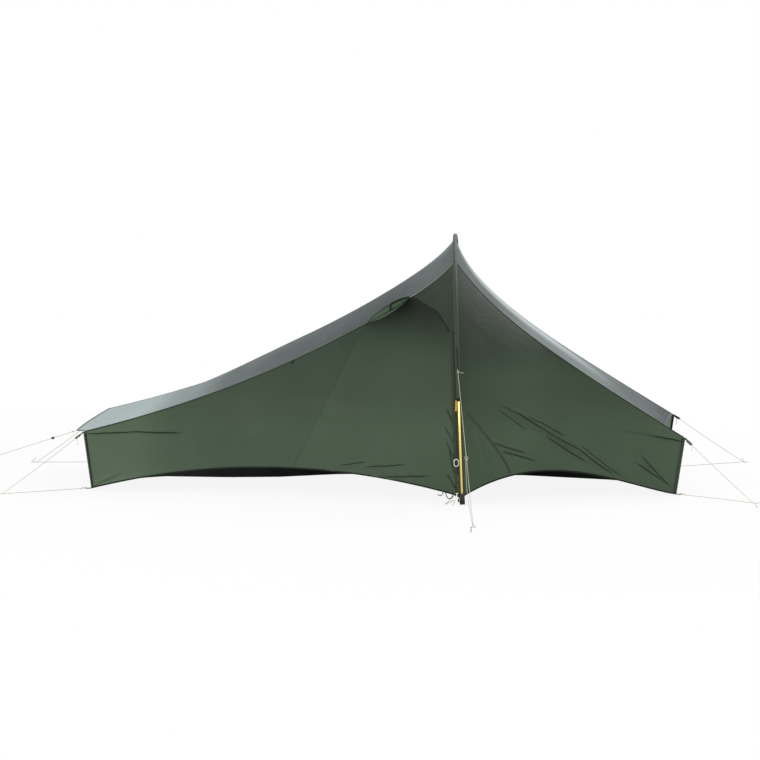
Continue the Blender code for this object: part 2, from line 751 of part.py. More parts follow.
def make_pole():
    """Tube sections end to end, each but the last with a spigot bonded in its far end."""
    radius = POLE_DIAMETER / 2
    bore = radius - POLE_WALL
    half = POLE_SECTIONS // 2
    for k in range(-half, half):
        steps = range(k * STEPS_PER_SECTION, (k + 1) * STEPS_PER_SECTION + 1)
        path = [arch_vertex(s, POLE_RADIUS) for s in steps]
        path[0] = path[0] + unit(path[1] - path[0]) * POLE_JOINT_GAP / 2
        path[-1] = path[-1] + unit(path[-2] - path[-1]) * POLE_JOINT_GAP / 2
        tube = bmesh.new()
        name = f"arch_pole_section_{k + half + 1}"
        if k == half - 1:
            add_tube(tube, path, radius, 8, bore, up=arch_up())
            add_object(name, tube, "pole")
            continue
        joint = arch_vertex((k + 1) * STEPS_PER_SECTION, POLE_RADIUS)
        back = unit(path[-2] - joint)
        forward = unit(arch_vertex((k + 1) * STEPS_PER_SECTION + 1, POLE_RADIUS) - joint)
        spigot = bore - FERRULE_CLEARANCE
        end = joint + forward * FERRULE_LENGTH / 2
        root = joint + back * FERRULE_LENGTH / 2
        rings = []
        for centre, outer in ((path, radius), ([joint, end], spigot)):
            rings += tube_rings(centre, outer, 8, arch_up())
        core = spigot - FERRULE_WALL
        for centre, inner in (([root, joint, end], core), (path[:-1], bore)):
            rings += tube_rings(centre, inner, 8, arch_up())[::-1]
        join_rings(tube, rings, loop=True)
        add_object(name, tube, "pole")
    shock = bmesh.new()
    last = half * STEPS_PER_SECTION
    add_tube(shock, sleeve_path(POLE_RADIUS, last), SHOCK_CORD_DIAMETER / 2, 6, up=arch_up())
    add_object("arch_pole_shock_cord", shock, "black")


def foot_frame(sign):
    """The pole's end, its direction downwards and its outward side; sign 1 is the door's."""
    last = POLE_SECTIONS // 2 * STEPS_PER_SECTION
    tip = arch_vertex(sign * last, POLE_RADIUS)
    down = unit(tip - arch_vertex(sign * (last - 1), POLE_RADIUS))
    across = arch_up()
    out = unit(np.cross(across, down))
    return tip, down, across, out if out[1] * sign < 0 else -out


def make_feet():
    """The cup that the pole stands in and the webbing under it, at each foot."""
    for key, sign in (("front", 1), ("back", -1)):
        tip, down, across, out = foot_frame(sign)
        bore = POLE_DIAMETER / 2 + FOOT_CUP_BORE_CLEARANCE
        levels = [(FOOT_CUP_RADIUS * FOOT_CUP_BASE_SHARE, TOUCH_GAP + FOOT_CUP_FLOOR),
                  (FOOT_CUP_RADIUS, TOUCH_GAP + FOOT_CUP_FLOOR * FOOT_CUP_CHAMFER_SHARE),
                  (FOOT_CUP_RADIUS, FOOT_CUP_RIM_HEIGHT - FOOT_CUP_HEIGHT),
                  (FOOT_CUP_RADIUS * FOOT_CUP_RIM_SHARE, -FOOT_CUP_HEIGHT),
                  (bore, -FOOT_CUP_HEIGHT), (bore, TOUCH_GAP)]
        bm = bmesh.new()
        turn = [2 * math.pi * k / 12 for k in range(12)]
        rings = [[tip + down * h + r * (math.cos(a) * across + math.sin(a) * out) for a in turn]
                 for r, h in levels]
        verts = join_rings(bm, rings)
        bm.faces.new(verts[0][::-1])
        bm.faces.new(verts[-1])
        add_object(f"pole_foot_{key}", bm, "black")
        strap = bmesh.new()
        side = FOOT_CUP_RADIUS + TOUCH_GAP
        base = 2 * TOUCH_GAP + FOOT_CUP_FLOOR
        thick = FOOT_WEB_THICKNESS
        corners = [(-side, -FOOT_WEB_RISE), (-side, base), (side, base), (side, -FOOT_WEB_LIP)]
        outward = [(-1, 0), (-1, 1), (1, 1), (1, 0)]
        path = [tip + out * a + down * b for a, b in corners]
        add_ribbon(strap, path, across, FOOT_WEB_WIDTH, [out * a + down * b for a, b in outward], thick)
        add_object(f"pole_foot_webbing_{key}", strap, "black", smooth=False)


def vent_points(count):
    """Seam points along the vent with how far its hood stands out at each."""
    left = SIDES["left"]
    found = []
    for k in range(count + 1):
        f = k / count
        u = lerp(VENT_START, VENT_END, f)
        reach = lerp(VENT_END_SHARE, 1.0, math.sin(math.pi * f) ** VENT_ROUND) * VENT_HOOD_REACH
        found.append((seam_point(left, u), reach))
    return found


VENT_OUT = vec(0, -0.8, 0.6)


def vent_axis():
    """The start of the line that the vent hood folds about, just outside the roof seam."""
    return vent_points(1)[0][0] + VENT_HOOD_AXIS_GAP * VENT_OUT


def make_vent():
    """A hood propped open under the roof edge by its stiff rim, with mesh behind it."""
    left = SIDES["left"]
    origin = vent_axis()
    rows = []
    rim = []
    for seam, reach in vent_points(8):
        rows.append([seam + VENT_OUT * lerp(VENT_HOOD_AXIS_GAP, reach, g / 3) for g in range(4)])
        rim.append(seam + VENT_OUT * reach)
    sheet("vent_hood", rows, FABRIC, "fly", INSIDE, origin=origin)
    stay = bmesh.new()
    edge = []
    for k, point in enumerate(rim):
        along = unit(rim[min(k + 1, len(rim) - 1)] - rim[max(k - 1, 0)])
        clear = unit(VENT_OUT - along * np.dot(VENT_OUT, along))
        edge.append(point + clear * (VENT_STAY_DIAMETER / 2 + 2 * TOUCH_GAP))
    add_tube(stay, edge, VENT_STAY_DIAMETER / 2, 6, up=(0, 0.6, 0.8))
    add_object("vent_hood_stiffener", stay, "black", origin=origin)
    mesh_rows = []
    for k in range(7):
        u = lerp(VENT_START - VENT_MESH_ENDS, VENT_END + VENT_MESH_ENDS, k / 6)
        length = wall_length(left, u, True)
        depth = VENT_MOUTH_DEPTH + VENT_MESH_MARGIN
        row = []
        for g in range(3):
            w = lerp(2 * SEAM_GAP, depth, g / 2) / length
            point = wall_point(left, u, w, True)
            row.append(point + unit(vec(0.0, 1.0, -0.3)) * (FABRIC + VENT_MESH_GAP))
        mesh_rows.append(row)
    sheet("vent_mesh", mesh_rows, FABRIC, "mesh", INSIDE)


def corners():
    """Each corner's name, end sign and side sign (-1 is the door side) and its peg."""
    return [("left_front", -1, -1, PEG_LEFT_FRONT), ("left_back", -1, 1, PEG_LEFT_BACK),
            ("right_front", 1, -1, PEG_RIGHT_FRONT), ("right_back", 1, 1, PEG_RIGHT_BACK)]


def corner_ends(sign, side):
    bottom = vec(sign * HALF_LENGTH, side * HALF_END_WIDTH, CORNER_BOTTOM_HEIGHT)
    top = vec(sign * (HALF_LENGTH + END_LEAN), side * HALF_END_WIDTH, CORNER_TOP_HEIGHT)
    return bottom, top


def guy_axes(start, stop):
    """Unit axes along a line, level across it, and square to both."""
    along = unit(stop - start)
    level = unit(np.cross(along, vec(0, 0, 1)))
    return along, level, np.cross(along, level)


def make_lock(bm, start, axes):
    """A ladder buckle with two slots, its near end at start."""
    first = LOCK_RIM + LOCK_SLOT
    second = first + LOCK_BAR
    xs = [0, LOCK_RIM, first, second, second + LOCK_SLOT, LOCK_LENGTH]
    half = LOCK_WIDTH / 2
    ys = [-half, LOCK_RIM - half, half - LOCK_RIM, half]
    add_plate(bm, start, (axes[0], axes[1], axes[2]), xs, ys, {(1, 1), (3, 1)}, LOCK_THICKNESS)


def peg_frame(spot, towards, past=0.0):
    """Where a line meets a peg's hook on the ground, and the directions back and across."""
    point = vec(*spot, GUY_DIAMETER / 2 + TOUCH_GAP)
    back = unit((towards - point) * vec(1, 1, 0))
    level = vec(-back[1], back[0], 0)
    reach = PEG_HOOK_RADIUS + PEG_DIAMETER / 2 + past + TOUCH_GAP
    return point + back * reach, back, level


def straight(start, stop, count=10):
    return [lerp(start, stop, k / (count - 1)) for k in range(count)]


def strut_at(sign, side, height):
    """The strut's centre line in one corner, at a height."""
    bottom, top = corner_ends(sign, side)
    f = (height - bottom[2]) / (top[2] - bottom[2])
    return lerp(bottom, top, f) + vec(-sign, -side, 0) * STRUT_INSET


def make_corners():
    """A strut in each corner, its webbing and buckle, and the line to the corner's peg."""
    for name, sign, side, peg in corners():
        bottom, top = corner_ends(sign, side)
        rod = bmesh.new()
        heights = (bottom[2] + STRUT_END_GAP, top[2] - STRUT_HEAD_DROP)
        ends = [strut_at(sign, side, height) for height in heights]
        add_tube(rod, ends, STRUT_DIAMETER / 2, 8)
        add_object(f"corner_strut_{name}", rod, "carbon")
        apex, back, level = peg_frame(peg, bottom, GUY_DIAMETER / 2)
        turn = GUY_TURN_RADIUS
        centre = apex + back * turn
        upper = guy_axes(top, centre + level * turn)
        lower = guy_axes(bottom + vec(0, 0, WEBBING_LIFT), centre - level * turn)
        out = -back
        gap = out * WEBBING_GAP
        webbing = bmesh.new()
        low = bottom + vec(0, 0, WEBBING_LIFT)
        high = top - vec(0, 0, 2 * SEAM_GAP)
        path = [high + gap + upper[0] * WEBBING_TOP_LENGTH, high + gap, low + gap,
                low + gap + lower[0] * WEBBING_BOTTOM_LENGTH]
        width_axis = unit(np.cross(out, vec(0, 0, 1)))
        rise_axis = vec(0, 0, 1)
        drops = [-rise_axis, out - rise_axis, out + rise_axis, rise_axis]
        add_ribbon(webbing, path, width_axis, WEBBING_WIDTH, drops, WEBBING_THICKNESS)
        add_object(f"corner_webbing_{name}", webbing, "black", smooth=False)
        lock = bmesh.new()
        middle = path[0] - rise_axis * WEBBING_THICKNESS / 2
        axes = guy_axes(middle, centre + level * turn)
        make_lock(lock, middle + axes[0] * LOCK_GAP, axes)
        add_object(f"corner_line_lock_{name}", lock, "black", smooth=False)
        first = middle + axes[0] * (LOCK_GAP + LOCK_LENGTH + TOUCH_GAP)
        last = path[-1] + lower[0] * (TOUCH_GAP * 2) + rise_axis * WEBBING_THICKNESS / 2
        bend = []
        for k in range(7):
            a = math.pi * k / 6
            bend.append(centre + turn * (math.cos(a) * level - math.sin(a) * back))
        strand_a = [lerp(first, bend[0], f / 6) for f in range(6)]
        strand_b = [lerp(bend[-1], last, f / 6) for f in range(1, 7)]
        cord(f"guy_corner_{name}", [*strand_a, *bend, *strand_b], GUY_DIAMETER, "guy")


def peg_route(spot, direction):
    """A wire peg lying on the ground: its hook round the spot, then the shaft."""
    centre = vec(*spot, PEG_DIAMETER / 2)
    shaft = vec(0, direction, 0)
    level = vec(1, 0, 0)
    hook = []
    for k in range(8):
        a = math.pi * k / 7
        hook.append(centre + PEG_HOOK_RADIUS * (math.cos(a) * level - math.sin(a) * shaft))
    last = hook[-1]
    reaches = (PEG_NECK, PEG_LENGTH * PEG_POINT_SHARE, PEG_LENGTH)
    return [*hook, *(last + shaft * reach for reach in reaches)]


def make_pegs():
    spots = {"left_front": (PEG_LEFT_FRONT, -1), "left_back": (PEG_LEFT_BACK, 1),
             "right_front": (PEG_RIGHT_FRONT, -1), "right_back": (PEG_RIGHT_BACK, 1),
             "end": (PEG_BEAK, 1), "arch_front": (PEG_ARCH_FRONT, -1), "arch_back": (PEG_ARCH_BACK, 1)}
    for name, (spot, direction) in spots.items():
        route = peg_route(spot, direction)
        taper = [1.0] * (len(route) - 1) + [PEG_POINT_WIDTH]
        cord(f"peg_{name}", route, PEG_DIAMETER, "silver", resolution=1, taper=taper)


def beak_tip():
    return roof_point(SIDES["left"], 0.0, 0.0)


def make_beak_guy():
    """The line from the hooded end's tip, with its sliding adjuster."""
    tip = beak_tip() - vec(0, 0, FABRIC / 2)
    target, _, _ = peg_frame(PEG_BEAK, tip)
    axes = guy_axes(tip, target)
    start = tip + axes[0] * (TOUCH_GAP * 3)
    cord("guy_end", straight(start, target), GUY_DIAMETER, "guy")
    add_slider("guy_slider_end", start, target, END_SLIDER_PLACE)


def add_slider(name, start, target, place):
    """An adjuster block that the straight guy line runs through."""
    axes = guy_axes(start, target)
    centre = start + axes[0] * place
    hole = GUY_DIAMETER / 2 + TOUCH_GAP
    half = SLIDER_WIDTH / 2
    bm = bmesh.new()
    marks = [-half, -hole, hole, half]
    add_plate(bm, centre, (axes[1], axes[2], axes[0]), marks, marks, {(1, 1)}, SLIDER_LENGTH)
    add_object(name, bm, "black", smooth=False, origin=centre)


def arch_guy_tab(sign):
    """Place and axes of the sewn tab that an arch guy line starts from."""
    low, high = math.floor(ARCH_GUY_STEP), math.ceil(ARCH_GUY_STEP)
    radius = POLE_RADIUS - SLEEVE_DROP
    a, b = arch_vertex(sign * low, radius), arch_vertex(sign * high, radius)
    down = unit(b - a)
    across = arch_up()
    out = unit(np.cross(across, down))
    return lerp(a, b, 0.5), down, across, out if out[1] * sign < 0 else -out


def make_sleeve():
    """The tunnel that the pole runs in, with a tab for a guy line sewn on each side."""
    bm = bmesh.new()
    path = sleeve_path(POLE_RADIUS - SLEEVE_DROP, SLEEVE_STEPS_DOWN)
    add_tube(bm, path, SLEEVE_RADIUS, SLEEVE_SIDES, SLEEVE_RADIUS - SLEEVE_WALL, up=arch_up())
    sleeve = add_object("pole_sleeve", bm, "fly")
    for sign in (1, -1):
        base, down, across, out = arch_guy_tab(sign)
        tab = bmesh.new()
        middle = base + out * (SLEEVE_FLAT + TAB_HEIGHT / 2)
        add_box(tab, middle, (down, across, out), (TAB_LENGTH, TAB_WIDTH, TAB_HEIGHT))
        union(sleeve, f"sleeve_tab_shape_{sign}", tab, "fly")


def make_arch_guys():
    """A line from the sleeve's tab to a peg, at the front and at the back."""
    for key, sign, peg in (("front", 1, PEG_ARCH_FRONT), ("back", -1, PEG_ARCH_BACK)):
        base, _, _, out = arch_guy_tab(sign)
        start = base + out * (SLEEVE_FLAT + TAB_HEIGHT + TOUCH_GAP * 2)
        target, _, _ = peg_frame(peg, start, ARCH_GUY_PAST)
        start = start + unit(target - start) * GUY_DIAMETER * ARCH_GUY_START
        cord(f"guy_arch_{key}", straight(start, target, 12), GUY_DIAMETER, "guy")


def inner_bounds():
    return -(HALF_LENGTH - INNER_END_INSET), HALF_LENGTH - INNER_END_INSET


def tub_front(x):
    """The floor's front edge at x, on the ground plan and its lift."""
    left, right = inner_bounds()
    x = min(max(x, left), right)
    edge = HALF_END_WIDTH - INNER_SIDE_INSET
    if x < TUB_FRONT_LEFT:
        f = (x - left) / (TUB_FRONT_LEFT - left)
    elif x > TUB_FRONT_RIGHT:
        f = (right - x) / (right - TUB_FRONT_RIGHT)
    else:
        f = 1.0
    lift = TUB_FRONT_LIFT * min(1.0, (right - abs(x)) / TUB_LIFT_RUN)
    return lerp(-edge, TUB_FRONT_Y, f), lift


def tub_back(x):
    left, right = inner_bounds()
    x = min(max(x, left), right)
    edge = HALF_END_WIDTH - INNER_SIDE_INSET
    reach = HALF_ARCH_WIDTH - TUB_BACK_INSET
    f = (x - left) / (ARCH_X - left) if x < ARCH_X else (right - x) / (right - ARCH_X)
    return lerp(edge, reach, f) - 4 * TUB_BACK_BOW * f * (1 - f)


def inner_ridge(x):
    """The top edge of the inner tent at x, hung a fixed drop under the roof."""
    peak = arch_at(0, FLY_RADIUS)
    side = SIDES["left"] if x < peak[0] else SIDES["right"]
    end = side["sign"] * (HALF_LENGTH + END_LEAN)
    t = min(1.0, max(0.0, (x - end) / (peak[0] - end)))
    hang = INNER_PEAK_HANG if abs(x - peak[0]) < 1e-6 else INNER_HANG
    height = roof_point(side, t, 0.0)[2] - hang
    y_front, lift = tub_front(x)
    base = lift + TUB_WALL
    top = peak[2] - INNER_HANG
    f = (height - base) / (top - base)
    return vec(x, y_front * (1 - f), height)


def tub_corner(sign, side):
    """The tub's top corner, where it hooks to the corner strut."""
    strut = strut_at(sign, side, TUB_WALL)
    reach = STRUT_DIAMETER / 2 + INNER_FABRIC + 2 * TOUCH_GAP
    return strut - unit(vec(sign, side, 0)) * reach


def inner_stations():
    left, right = inner_bounds()
    peak = arch_at(0, FLY_RADIUS)[0]
    middle = [peak - INNER_PEAK_HALF, peak, peak + INNER_PEAK_HALF]
    return [tub_corner(-1, -1)[0], left + INNER_STEP, left + INNER_LONG_STEP,
            TUB_FRONT_LEFT - INNER_STEP, TUB_FRONT_LEFT,
            INNER_DOOR_LEFT, lerp(INNER_DOOR_LEFT, peak, 0.5), *middle,
            lerp(peak, INNER_DOOR_RIGHT, INNER_RIGHT_SHARE), INNER_DOOR_RIGHT, TUB_FRONT_RIGHT,
            TUB_FRONT_RIGHT + INNER_STEP, right - INNER_STEP, tub_corner(1, -1)[0]]


def end_curve(point):
    """Draws an inner end's point in towards the middle, more the nearer the middle."""
    share = 1 - (point[1] / tub_corner(1, 1)[1]) ** 2
    return point - vec(math.copysign(TUB_END_CURVE, point[0]), 0, 0) * share


def front_flare(x):
    """How far the floor's upturned front and back edges lean out at x."""
    left, right = inner_bounds()
    edge = HALF_END_WIDTH - INNER_SIDE_INSET
    return tub_corner(1, 1)[1] - edge if x < left or x > right else TUB_FLARE


def inner_front_point(x, z):
    """The front wall at x and height z; one plane between the tub's straight edges."""
    y_front, lift = tub_front(x)
    base = lift + TUB_WALL
    top = arch_at(0, FLY_RADIUS)[2] - INNER_HANG
    return vec(x, y_front * (1 - (z - base) / (top - base)) - front_flare(x), z)


def sill_height(x):
    base = tub_front(x)[1] + TUB_WALL
    return base + min(INNER_DOOR_SILL, INNER_SILL_SHARE * (inner_ridge(x)[2] - base))


def door_head(x):
    ridge = inner_ridge(x)[2]
    return min(INNER_DOOR_TOP, lerp(sill_height(x), ridge, INNER_TOP_SHARE))


def make_inner():
    """The tub floor, the two hung walls and the drop-down door of the inner tent."""
    stations = inner_stations()
    left, right = inner_bounds()
    rows = []
    for x in stations:
        front, lift = tub_front(x)
        back = tub_back(x)
        flare = front_flare(x)
        base = lift + TUB_WALL
        middle = lerp(front, back, TUB_MIDDLE_SHARE)
        ys = [front - flare, front, front + TUB_FRONT_SLOPE, middle, back, back + flare]
        floor = [vec(min(max(x, left), right), y, z) for y, z in zip(ys, [base, lift, 0, 0, 0, TUB_WALL])]
        if left < x < right:
            rows.append(floor)
            continue
        ridge = inner_front_point(x, inner_ridge(x)[2])
        first, last = vec(x, ys[0], base), vec(x, ys[-1], TUB_WALL)
        falls = [lerp(ridge, last, share) for share in INNER_END_SHARES]
        edge = [first, lerp(first, ridge, 0.5), ridge, *falls, last]
        edge = [end_curve(p) - vec(0, 0, 2 * SEAM_GAP) for p in edge]
        floor[0], floor[-1] = lerp(edge[0], floor[1], 0.5), lerp(edge[-1], floor[-2], 0.5)
        rows += [edge, floor] if x < left else [floor, edge]
    sheet("inner_tub_floor", rows, INNER_FABRIC, "tub", vec(0.1, 0.1, 0.3))
    make_inner_walls(stations)


def make_inner_walls(stations):
    wall = []
    gap = 2 * SEAM_GAP
    stations = [stations[0] + 2 * gap, *stations[1:-1], stations[-1] - 2 * gap]
    ends = (stations[0], stations[-1])
    for x in stations:
        base = tub_front(x)[1] + TUB_WALL + gap
        sill = max(sill_height(x), base + gap)
        head = max(door_head(x), sill + gap)
        ridge = inner_ridge(x)[2]
        heights = [ridge, head, lerp(head, sill, 0.5), sill, base]
        column = [inner_front_point(x, z) for z in heights]
        wall.append([end_curve(p) for p in column] if x in ends else column)
    first = stations.index(INNER_DOOR_LEFT)
    last = stations.index(INNER_DOOR_RIGHT)
    holes = {(i, j) for i in range(first, last) for j in (1, 2)}
    sheet("inner_wall_front", wall, INNER_FABRIC, "inner", vec(0.1, 0.3, 0.2), holes=holes)
    door = []
    for x in stations[first:last + 1]:
        inset = gap if x == INNER_DOOR_LEFT else -gap if x == INNER_DOOR_RIGHT else 0.0
        head, sill = door_head(x) - gap, sill_height(x) + gap
        heights = [head, lerp(head, sill, 0.5), sill]
        door.append([inner_front_point(x, z) + vec(inset, 0, 0) for z in heights])
    sheet("inner_door", door, INNER_FABRIC, "inner", vec(0.1, 0.3, 0.2), origin=inner_hinge())
    back_wall = []
    for x in stations:
        ridge = inner_ridge(x)
        top = inner_front_point(x, ridge[2]) + vec(0, gap, 0)
        bottom = vec(x, tub_back(x) + front_flare(x), TUB_WALL + gap)
        column = [lerp(top, bottom, f / 5) for f in range(6)]
        back_wall.append([end_curve(p) for p in column] if x in ends else column)
    sheet("inner_wall_back", back_wall, INNER_FABRIC, "inner", vec(0.1, 0.1, 0.0))


def inner_hinge():
    """The line along the door's sill that the inner door drops about."""
    x = lerp(INNER_DOOR_LEFT, INNER_DOOR_RIGHT, 0.5)
    return inner_front_point(x, sill_height(x) + SEAM_GAP)


def main():
    clear_scene()
    make_roofs()
    make_walls()
    make_door()
    make_hood_panel()
    make_ends()
    make_zip()
    make_slider()
    make_sleeve()
    make_pole()
    make_feet()
    make_vent()
    make_corners()
    make_pegs()
    make_beak_guy()
    make_arch_guys()
    make_inner()


main()
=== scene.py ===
# %% [markdown]
# # A single-arch backpacking tent
# The CAD model is loaded first as a fixed frame. Every piece made here goes where the
# frame says, and rides on one of its bodies, so that the door, the zip and the vent
# still move when a pose is asked for.

# %% Load the frame
import math

import bmesh
import bpy
import numpy as np
from mathutils import Matrix, Vector


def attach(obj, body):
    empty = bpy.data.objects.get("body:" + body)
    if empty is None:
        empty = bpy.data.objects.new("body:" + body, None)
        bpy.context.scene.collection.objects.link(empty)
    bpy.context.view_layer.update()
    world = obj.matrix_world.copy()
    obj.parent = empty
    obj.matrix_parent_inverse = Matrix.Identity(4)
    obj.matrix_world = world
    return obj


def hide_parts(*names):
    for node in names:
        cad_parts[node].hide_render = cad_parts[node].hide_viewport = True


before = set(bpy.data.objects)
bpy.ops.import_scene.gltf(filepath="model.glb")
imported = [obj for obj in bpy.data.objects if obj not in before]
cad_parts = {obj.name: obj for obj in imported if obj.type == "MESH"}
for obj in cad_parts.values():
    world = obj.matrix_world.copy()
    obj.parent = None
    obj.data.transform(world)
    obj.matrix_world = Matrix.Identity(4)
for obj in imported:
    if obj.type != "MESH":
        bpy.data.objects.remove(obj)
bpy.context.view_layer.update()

# %% [markdown]
# ## Camera
# The camera stands 14.6 m away with a long lens, a little above eye height of someone
# kneeling, which is what makes the tent look almost side-on while its floor still shows
# a trace of depth. Its axes are worked out from yaw, pitch and roll.

# %% Camera
VIEW_PLACE = (0.4267, -14.5809, 1.7481)
YAW, PITCH, ROLL = 0.0312, 0.0917, 0.0064
FOCAL_PIXELS, PICTURE_PIXELS = 3628.4, 760


def frame_of(origin, *axes):
    """Matrix that carries x, y and z to three axes at origin."""
    made = Matrix(np.array(axes, float).T.tolist()).to_4x4()
    made.translation = Vector(origin)
    return made


def view_axes():
    level = np.array([math.cos(YAW), math.sin(YAW), 0.0])
    ahead = np.array([-math.sin(YAW), math.cos(YAW), 0.0])
    forward = ahead * math.cos(PITCH) - np.array([0, 0, math.sin(PITCH)])
    up = np.array([0, 0, math.cos(PITCH)]) + ahead * math.sin(PITCH)
    right = level * math.cos(ROLL) + up * math.sin(ROLL)
    return right, up * math.cos(ROLL) - level * math.sin(ROLL), -forward


def add_object(name, data):
    made = bpy.data.objects.new(name, data)
    bpy.context.collection.objects.link(made)
    return made


lens = bpy.data.cameras.new("camera")
lens.sensor_width = 36.0
lens.lens = FOCAL_PIXELS * lens.sensor_width / PICTURE_PIXELS
lens.clip_end = 100
camera = add_object("camera", lens)
camera.matrix_world = frame_of(VIEW_PLACE, *view_axes())
bpy.context.scene.camera = camera
print(f"lens {lens.lens:.1f} mm")

# %% [markdown]
# ## Nodes
# Every finish is built from nodes. Making a node by hand takes a line for each of its
# sockets, so three small classes do it: one adds nodes to any tree, one starts a node
# group, and one starts a material. A socket gets either a fixed value or a link.

# %% Nodes of any tree


class Nodes:
    """Adds nodes to one tree. Each method gives back what the new node puts out."""

    def __init__(self, tree):
        self.tree = tree

    def fill(self, node, inputs):
        for label, value in inputs.items():
            socket = node.inputs[label]
            if isinstance(value, bpy.types.NodeSocket):
                self.tree.links.new(value, socket)
            else:
                colour = isinstance(value, tuple)
                socket.default_value = (*value, 1) if colour else value

    def add(self, kind, inputs={}, **settings):
        made = self.tree.nodes.new("ShaderNode" + kind)
        for label, value in settings.items():
            setattr(made, label, value)
        self.fill(made, inputs)
        return made.outputs

    def calc(self, operation, *operands):
        return self.add("Math", dict(enumerate(operands)), operation=operation)[0]

    def times(self, a, b):
        return self.calc("MULTIPLY", a, b)

    def wave(self, value, pitch):
        return self.calc("SINE", self.times(value, pitch))

    def ramp(self, value, low, high, to_low=0.0, to_high=1.0):
        return self.add("MapRange", {"Value": value, "From Min": low, "From Max": high,
                                     "To Min": to_low, "To Max": to_high})["Result"]

    def noise(self, place, scale, detail=2.0, distortion=0.0):
        return self.add("TexNoise", {"Vector": place, "Scale": scale, "Detail": detail,
                                     "Distortion": distortion})["Fac"]

    def split(self, vector):
        return self.add("SeparateXYZ", {0: vector})

    def mix(self, mask, below, above, **settings):
        """Lays one colour over another by a mask."""
        return self.add("Mix", {"Factor": mask, 6: below, 7: above}, data_type="RGBA",
                        **settings)[2]

    def use(self, group, **values):
        return self.add("Group", values, node_tree=bpy.data.node_groups[group])


class Group(Nodes):
    """A node group: an input is a vector where None stands, and else a number."""

    def __init__(self, name, **inputs):
        super().__init__(bpy.data.node_groups.new(name, "ShaderNodeTree"))
        for label, value in inputs.items():
            kind = "NodeSocketVector" if value is None else "NodeSocketFloat"
            socket = self.tree.interface.new_socket(label, in_out="INPUT", socket_type=kind)
            if value is not None:
                socket.default_value = value
        self.given = self.tree.nodes.new("NodeGroupInput").outputs

    def put_out(self, **outputs):
        for label in outputs:
            self.tree.interface.new_socket(label, in_out="OUTPUT",
                                           socket_type="NodeSocketFloat")
        self.fill(self.tree.nodes.new("NodeGroupOutput"), outputs)


class Finish(Nodes):
    """A material with its shader, and the surface's place: cloth UV and Object."""

    def __init__(self, name, rough, specular=0.5, metallic=0.0):
        self.look = bpy.data.materials.new(name)
        self.look.use_nodes = True
        super().__init__(self.look.node_tree)
        self.shade = self.tree.nodes["Principled BSDF"]
        self.set(**{"Roughness": rough, "Specular IOR Level": specular,
                    "Metallic": metallic})
        place = self.add("TexCoord")
        self.cloth, self.solid = place["UV"], place["Object"]

    def set(self, **values):
        self.fill(self.shade, values)

    def done(self, colour, heights):
        """Sets colour and bumps, each (height, distance in metres, strength)."""
        normal = {}
        for height, distance, strength in heights:
            bumped = {"Height": height, "Distance": distance, "Strength": strength}
            normal = {"Normal": self.add("Bump", bumped | normal)[0]}
        self.set(**{"Base Color": colour}, **normal)
        return self.look


print("node helpers ready")

# %% [markdown]
# ## Floor, sky and lamps
# A pale floor carries the shadow. The world is white to the camera and to reflections,
# and a soft grey for the light that it sheds, so the lamps shape the cloth and the
# background still reads as white. Two large soft lamps stand in front, and one behind
# and above skims the roof, whose coated cloth shines at a low angle. More of the roof's
# shine is painted into its colour as a painted highlight and painted reflection.

# %% Floor and world
FLOOR_HALF, FLOOR_SINK = 30.0, 0.0005
SHADOW_FROM, SHADOW_TO = 1.6, 3.4


def primitive(kind, **sizes):
    """A new primitive with its place in its mesh, and nothing else selected."""
    bpy.ops.object.select_all(action="DESELECT")
    getattr(bpy.ops.mesh, f"primitive_{kind}_add")(**sizes)
    bpy.ops.object.transform_apply(location=True, rotation=True, scale=True)
    return bpy.context.object


ground = Finish("studio_floor", 0.9, 0.1)
ground.set(**{"Base Color": (0.86, 0.86, 0.86)})
glow = ground.add("Emission", {"Color": (1, 1, 1), "Strength": 1.0})[0]
far = ground.add("VectorMath", {0: ground.solid}, operation="LENGTH")["Value"]
tone_ramp = ground.ramp(far, SHADOW_FROM, SHADOW_TO, 0.90, 1.0)
lift = ground.times(ground.add("LightPath")["Is Camera Ray"], tone_ramp)
blend = ground.add("MixShader", {"Fac": lift, 1: ground.shade.outputs[0], 2: glow})[0]
ground.fill(ground.tree.nodes["Material Output"], {"Surface": blend})
floor = primitive("plane", size=2 * FLOOR_HALF, location=(0, 0, -FLOOR_SINK))
floor.name = "studio_floor"
floor.data.materials.append(ground.look)

world = bpy.data.worlds.new("studio")
bpy.context.scene.world = world
world.use_nodes = True
sky = Nodes(world.node_tree)
paths = sky.add("LightPath")
seen = sky.calc("MAXIMUM", paths["Is Camera Ray"], paths["Is Transmission Ray"])
bright = sky.calc("MAXIMUM", seen, paths["Is Glossy Ray"])
sky.fill(sky.tree.nodes["Background"],
         {"Color": (1, 1, 1), "Strength": sky.ramp(bright, 0.0, 1.0, 0.5, 1.0)})
bpy.context.scene.view_settings.view_transform = "Standard"
print("floor and world set")

# %% Lamps
LAMPS = {"front_lamp": ((-4.0, -6.0, 3.2), (0, 0, 0.3), (3.0, 2.5), 270),
         "side_lamp": ((5.5, -4.5, 2.6), (0.3, 0, 0.4), (2.5, 2.5), 90),
         "roof_lamp": ((2.6, 3.4, 4.6), (0, 0.2, 0.5), (3.5, 2.5), 170)}
for name, (place, aim, size, watts) in LAMPS.items():
    light = bpy.data.lights.new(name, "AREA")
    light.shape = "RECTANGLE"
    light.size, light.size_y = size
    light.energy = watts
    lamp = add_object(name, light)
    lamp.location = place
    towards = Vector(aim) - Vector(place)
    lamp.rotation_euler = towards.to_track_quat("-Z", "Y").to_euler()
print("lamps:", len(LAMPS))

# %% [markdown]
# ## The pitched shape
# The whole shape hangs on one leaning arch. Its pole is part of a circle a little wider
# than a half, and the cloth runs on a slightly smaller circle inside the sleeve. The
# roof is a strip between two seams that fall from the arch to the corner tops, and the
# side walls run from those seams to the hems.

